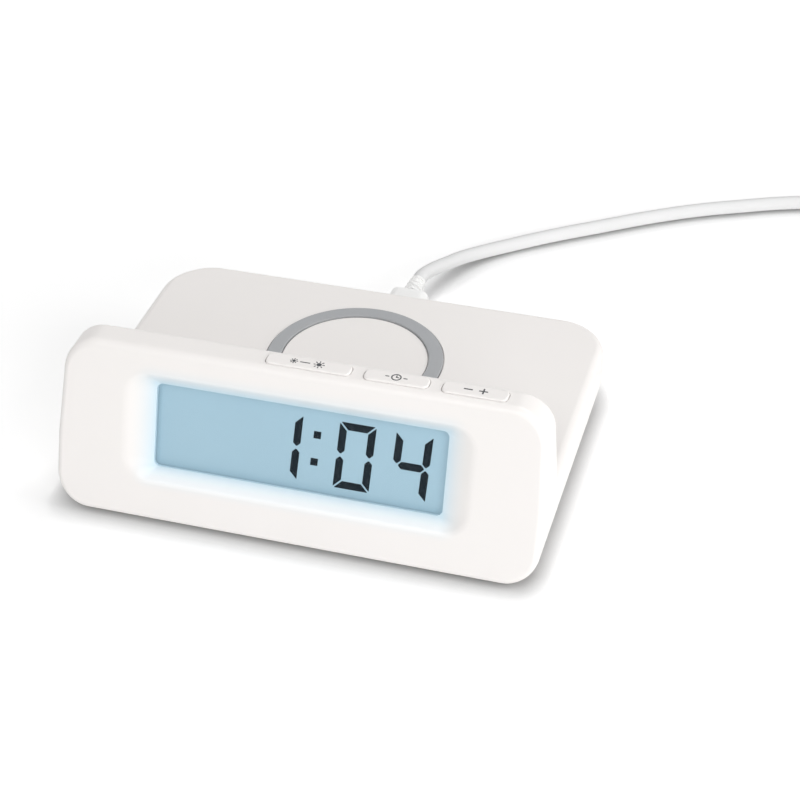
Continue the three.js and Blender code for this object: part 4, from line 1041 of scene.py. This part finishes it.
def set_mark():
    """A clock ring with two hands, between two dashes."""
    shape = band(CLOCK_X, MARK_Y, CLOCK_INNER, CLOCK_OUTER, KEY_TOP, KEY_TOP + INK, 32)
    stroke(shape, CLOCK_X, MARK_Y + 0.3, 0.28, 0.9)
    stroke(shape, HAND_X, MARK_Y - 0.01, 0.6, 0.28)
    for side in (-1, 1):
        stroke(shape, CLOCK_X + side * 2.3, MARK_Y, 1.0, 0.3)
    return shape


def adjust_mark():
    """A minus and a plus, whose upright is two strokes that meet its bar."""
    shape = bmesh.new()
    stroke(shape, MINUS_X, MARK_Y, 2.2, 0.38)
    stroke(shape, PLUS_X, MARK_Y, 2.2, 0.38)
    for side in (-1, 1):
        stroke(shape, PLUS_X, MARK_Y + side * 0.64, 0.38, 0.9)
    return shape


for body, mark in (("light_key", light_mark), ("set_key", set_mark), ("adjust_key", adjust_mark)):
    new_piece(body.replace("_key", "_mark"), mark(), body, "mark_ink")

# %% Pad ring
RING_LOW, RING_TOP = PAD_TOP - 0.4, PAD_TOP + 0.5
RING_EDGE, RING_STEPS = 0.3, 128


def on_one_circle(a, b):
    """Passes edges that follow the ring, not those across it."""
    return abs(math.hypot(a.x, a.y - PAD_CENTRE) - math.hypot(b.x, b.y - PAD_CENTRE)) < RING_WIDTH / 8


on_top = above(RING_TOP - LEVEL)
inner, outer = RING_RADIUS - RING_WIDTH / 2, RING_RADIUS + RING_WIDTH / 2
ring = band(0, PAD_CENTRE, inner, outer, RING_LOW, RING_TOP, RING_STEPS)
round_edges(ring, RING_EDGE, 4, lambda a, b: on_top(a, b) and on_one_circle(a, b))
ring_piece = smooth(new_piece("grip_ring", ring, "clock", "grey_rubber"))
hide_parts("pad_ring")

# %% [markdown]
# ## Smooth copies
# The CAD's round pieces are many-sided. Where one can be seen, a copy has its loose triangles
# merged, and smooth shading then rounds it; its shape and place stay the CAD's own.

# %% Refine a CAD piece
SAME_POINT, FLAT_ANGLE = 0.0005, math.radians(0.5)


def refined(node_name):
    """A merged, smooth-shaded copy of a CAD node that stands for it."""
    shape = bmesh.new()
    shape.from_mesh(nodes[node_name].data)
    bmesh.ops.scale(shape, vec=(1 / MM, 1 / MM, 1 / MM), verts=shape.verts)
    bmesh.ops.remove_doubles(shape, verts=shape.verts, dist=SAME_POINT)
    bmesh.ops.dissolve_limit(
        shape, angle_limit=FLAT_ANGLE, verts=shape.verts, edges=shape.edges, use_dissolve_boundaries=False,
    )
    body = nodes[node_name]["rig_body"]
    piece = smooth(new_piece(node_name + "_smooth", shape, body, slot_of[node_name]))
    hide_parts(node_name)
    return piece


SEEN = ["bottom_cover", "display_window", "battery_cap"]
SEEN += [f"rubber_foot_{number}" for number in (1, 2, 3, 4)]
SEEN += [f"cover_screw_{number}" for number in (1, 2, 3, 4)]
for name in SEEN:
    refined(name)

# %% [markdown]
# ## The pieces on the cord
# The plug, its sleeves and the grip at the far end keep their CAD shapes. The metal mouth of
# the far plug gets its rounded corners, its two square windows and its tongue with four gilt
# contacts, and the tie becomes a soft strap with a flap, as a reusable cable strap is. Both are
# made of rounded blocks that are joined and cut as the housing is.

# %% The tie
TIE_ANGLE = math.radians(140)
STRAP_HALF, STRAP_THICK = 3.0, 0.6
STRAP_CORNER, STRAP_INNER_CORNER = 2.4, 1.6
STRAP_EDGE, STRAP_EDGE_STEPS, STRAP_STEPS = 0.2, 3, 8
FLAP_FROM_NEAR, FLAP_FROM_FAR = 4.5, 3
FLAP_SUNK, FLAP_RISE, FLAP_CORNER = 0.1, 0.5, 2.2

coil_place = Matrix.Translation((COIL_X, COIL_Y, 0)) @ Matrix.Rotation(TIE_ANGLE, 4, "Z")
to_coil = coil_place.inverted()
corners = [to_coil @ (vertex.co / MM) for vertex in nodes["cord_tie"].data.vertices]
near, far = min(corner.x for corner in corners), max(corner.x for corner in corners)
strap_top = max(corner.z for corner in corners)
loop_shape = rounded_prism(
    (near, -STRAP_HALF, 0), (far, STRAP_HALF, strap_top), STRAP_CORNER, Y_AXIS, STRAP_STEPS,
)
round_edges(loop_shape, STRAP_EDGE, STRAP_EDGE_STEPS, stays(Y_AXIS))
strap = tool(loop_shape)
combine(strap, tool(rounded_prism(
    (near + STRAP_THICK, -STRAP_HALF - PROUD, STRAP_THICK),
    (far - STRAP_THICK, STRAP_HALF + PROUD, strap_top - STRAP_THICK),
    STRAP_INNER_CORNER, Y_AXIS, STRAP_STEPS,
)), "DIFFERENCE")
flap_shape = rounded_prism(
    (near + FLAP_FROM_NEAR, -STRAP_HALF, strap_top - FLAP_SUNK),
    (far - FLAP_FROM_FAR, STRAP_HALF, strap_top + FLAP_RISE), FLAP_CORNER, Z_AXIS, STRAP_STEPS,
)
round_edges(flap_shape, STRAP_EDGE, STRAP_EDGE_STEPS, above(strap_top + FLAP_RISE - FLAP_SUNK))
combine(strap, tool(flap_shape), "UNION")
strap_shape = from_tool(strap)
bmesh.ops.transform(strap_shape, matrix=coil_place, verts=strap_shape.verts)
tie = smooth(new_piece("cable_strap", strap_shape, "clock", "black_rubber"))
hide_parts("cord_tie")

# %% The far plug's mouth
TAIL_TURN = math.radians(15)
MOUTH_START, MOUTH_END = 29.4, 41.4
MOUTH_HALF, SHEET = (6, 2.25), 0.5
MOUTH_CORNER, MOUTH_INNER_CORNER = 0.7, 0.25
SMALL_EDGE, SMALL_STEPS = 0.2, 3
SQUARE_X, SQUARE_HALF, SQUARE_START, SQUARE_END = 2.6, 1.1, 34, 36.2
end_place = Matrix.Translation(Vector(tail_path[-1])) @ Matrix.Rotation(TAIL_TURN, 4, "Z")


def on_end(shape):
    """A shape made along the cord's last line, put there."""
    bmesh.ops.transform(shape, matrix=end_place, verts=shape.verts)
    return shape


wide, tall = MOUTH_HALF
mouth = tool(rounded_prism((-wide, MOUTH_START, -tall), (wide, MOUTH_END, tall), MOUTH_CORNER, Y_AXIS, 5))
combine(mouth, tool(rounded_prism(
    (SHEET - wide, MOUTH_START + PROUD, SHEET - tall), (wide - SHEET, MOUTH_END + PROUD, tall - SHEET),
    MOUTH_INNER_CORNER, Y_AXIS, SMALL_STEPS,
)), "DIFFERENCE")
squares = [rounded_prism(
    (x - SQUARE_HALF, SQUARE_START, -OUTSIDE), (x + SQUARE_HALF, SQUARE_END, OUTSIDE),
    SMALL_EDGE, Z_AXIS, SMALL_STEPS,
) for x in (-SQUARE_X, SQUARE_X)]
combine(mouth, tool(gather(*squares)), "DIFFERENCE")
shell_piece = smooth(new_piece("plug_mouth", on_end(from_tool(mouth)), "clock", "steel"))
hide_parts("cord_usb_shell")

# %% The plug's tongue and contacts
TONGUE_START, TONGUE_END, TONGUE_GAP = MOUTH_START + 0.8, MOUTH_END - 0.4, 0.1
CONTACT_START, CONTACT_HALF, CONTACT_FOOT = 32, 0.5, -0.08
CONTACTS = ((-3.5, 40.2), (-1.2, 39.2), (1.2, 39.2), (3.5, 40.2))

inside, tongue_top = wide - SHEET - TONGUE_GAP, tall - SHEET - TONGUE_GAP
tongue_shape = rounded_prism(
    (-inside, TONGUE_START, 0), (inside, TONGUE_END, tongue_top), SMALL_EDGE, Y_AXIS, SMALL_STEPS,
)
tongue = new_piece("plug_tongue", on_end(tongue_shape), "clock", "black_plastic")
contacts_shape = bmesh.new()
for x, reach in CONTACTS:
    make_box(contacts_shape, (x - CONTACT_HALF, CONTACT_START, CONTACT_FOOT), (x + CONTACT_HALF, reach, 0))
round_edges(contacts_shape, SMALL_EDGE, SMALL_STEPS, runs(Z_AXIS))
contacts = new_piece("plug_contacts", on_end(contacts_shape), "clock", "gilt")

CORD_ENDS = ["cord_plug", "cord_relief", "cord_usb_relief", "cord_usb_grip"]
cord_pieces = [refined(name) for name in CORD_ENDS] + [tie, shell_piece, tongue, contacts]
print("pieces on the cord:", len(cord_pieces))

# %% [markdown]
# ## The table and the light
# The object stands on a plain white surface in soft light. The background is white because the
# floor adds a little of its own light for what the eye sees alone; the object's light stays
# plain. Further out that light grows to full white, so no horizon shows in a low view. Right
# beside the object a soft contact shadow is painted on the floor: ambient occlusion darkens the
# floor's colour and its own light there, for what the eye sees alone.
# From here on all lengths are metres.

# %% Floor
FLOOR_HALF = 3
# How far the painted contact shadow reaches, in metres, and how dark it gets.
CONTACT_REACH, CONTACT_DARK = 0.0074, 0.7
WHITE_FROM, WHITE_AT = 0.12, 0.75
DIM_LIGHT = (0.22, 0.22, 0.22, 1)

floor_mesh = bpy.data.meshes.new("floor")
shape = bmesh.new()
bmesh.ops.create_grid(shape, x_segments=1, y_segments=1, size=FLOOR_HALF)
shape.to_mesh(floor_mesh)
shape.free()
floor = add_object("floor", floor_mesh)

paper = Finish("floor_paper", roughness=0.9, emission_strength=1.0)
# Painted contact shadow: ambient occlusion darkens the floor next to the object, for seen rays only.
open_air = paper.node("ShaderNodeAmbientOcclusion", {"samples": 16}, {"Distance": CONTACT_REACH}, "AO")
seen = paper.seen_rays()
open_share = 1 - seen * (CONTACT_DARK - CONTACT_DARK * open_air * open_air)
fibre = paper.blend(paper.noise(8), (0.95, 0.95, 0.95, 1), (0.97, 0.97, 0.97, 1))
paper.set("Base Color", paper.blend(open_share, BLACK, fibre))
away = paper.node("ShaderNodeVectorMath", {"operation": "LENGTH"}, {0: paper.place()}, "Value")
further = paper.node("ShaderNodeMapRange", {"interpolation_type": "SMOOTHSTEP"}, {
    "Value": away, "From Min": WHITE_FROM, "From Max": WHITE_AT,
})
own_light = paper.blend(further, DIM_LIGHT, WHITE)
paper.set("Emission Color", paper.blend(open_share * seen, BLACK, own_light))
floor_mesh.materials.append(finishes["floor_paper"])
print("floor:", 2 * FLOOR_HALF, "m wide")

# %% Lamps
AIM_POINT = Vector((0, 0, 0.02))
# Each lamp's place, the side of its square in metres, and its power in watts
LAMPS = {
    "front_box": ((0.85, -1.1, 0.4), 0.7, 7.1),
    "top_box": ((0.0, -0.8, 1.0), 0.7, 5.0),
    "back_box": ((0.2, 0.5, 1.1), 0.5, 3.9),
    "side_box": ((1.2, 0.25, 0.45), 0.7, 4.5),
}


def soft_lamp(name, place, size, power):
    """A square soft box at a place, pointing at the clock."""
    light = bpy.data.lights.new(name, "AREA")
    light.size = size
    light.energy = power
    lamp = add_object(name, light)
    lamp.location = place
    lamp.rotation_mode = "QUATERNION"
    lamp.rotation_quaternion = (Vector(place) - AIM_POINT).to_track_quat("Z", "Y")


for name, (place, size, power) in LAMPS.items():
    soft_lamp(name, place, size, power)
print("lamps:", len(LAMPS))

# %% The world
SKY_LIGHT = 0.28
world = bpy.data.worlds.new("world")
bpy.context.scene.world = world
world.use_nodes = True
background = world.node_tree.nodes["Background"]
background.inputs["Color"].default_value = WHITE
sky = Graph(world.node_tree)
sky.feed(background.inputs["Strength"], sky.seen_rays() * (1 - SKY_LIGHT) + SKY_LIGHT)
bpy.context.scene.view_settings.view_transform = "Standard"
print("sky: 1 where it is seen,", SKY_LIGHT, "on the clock")
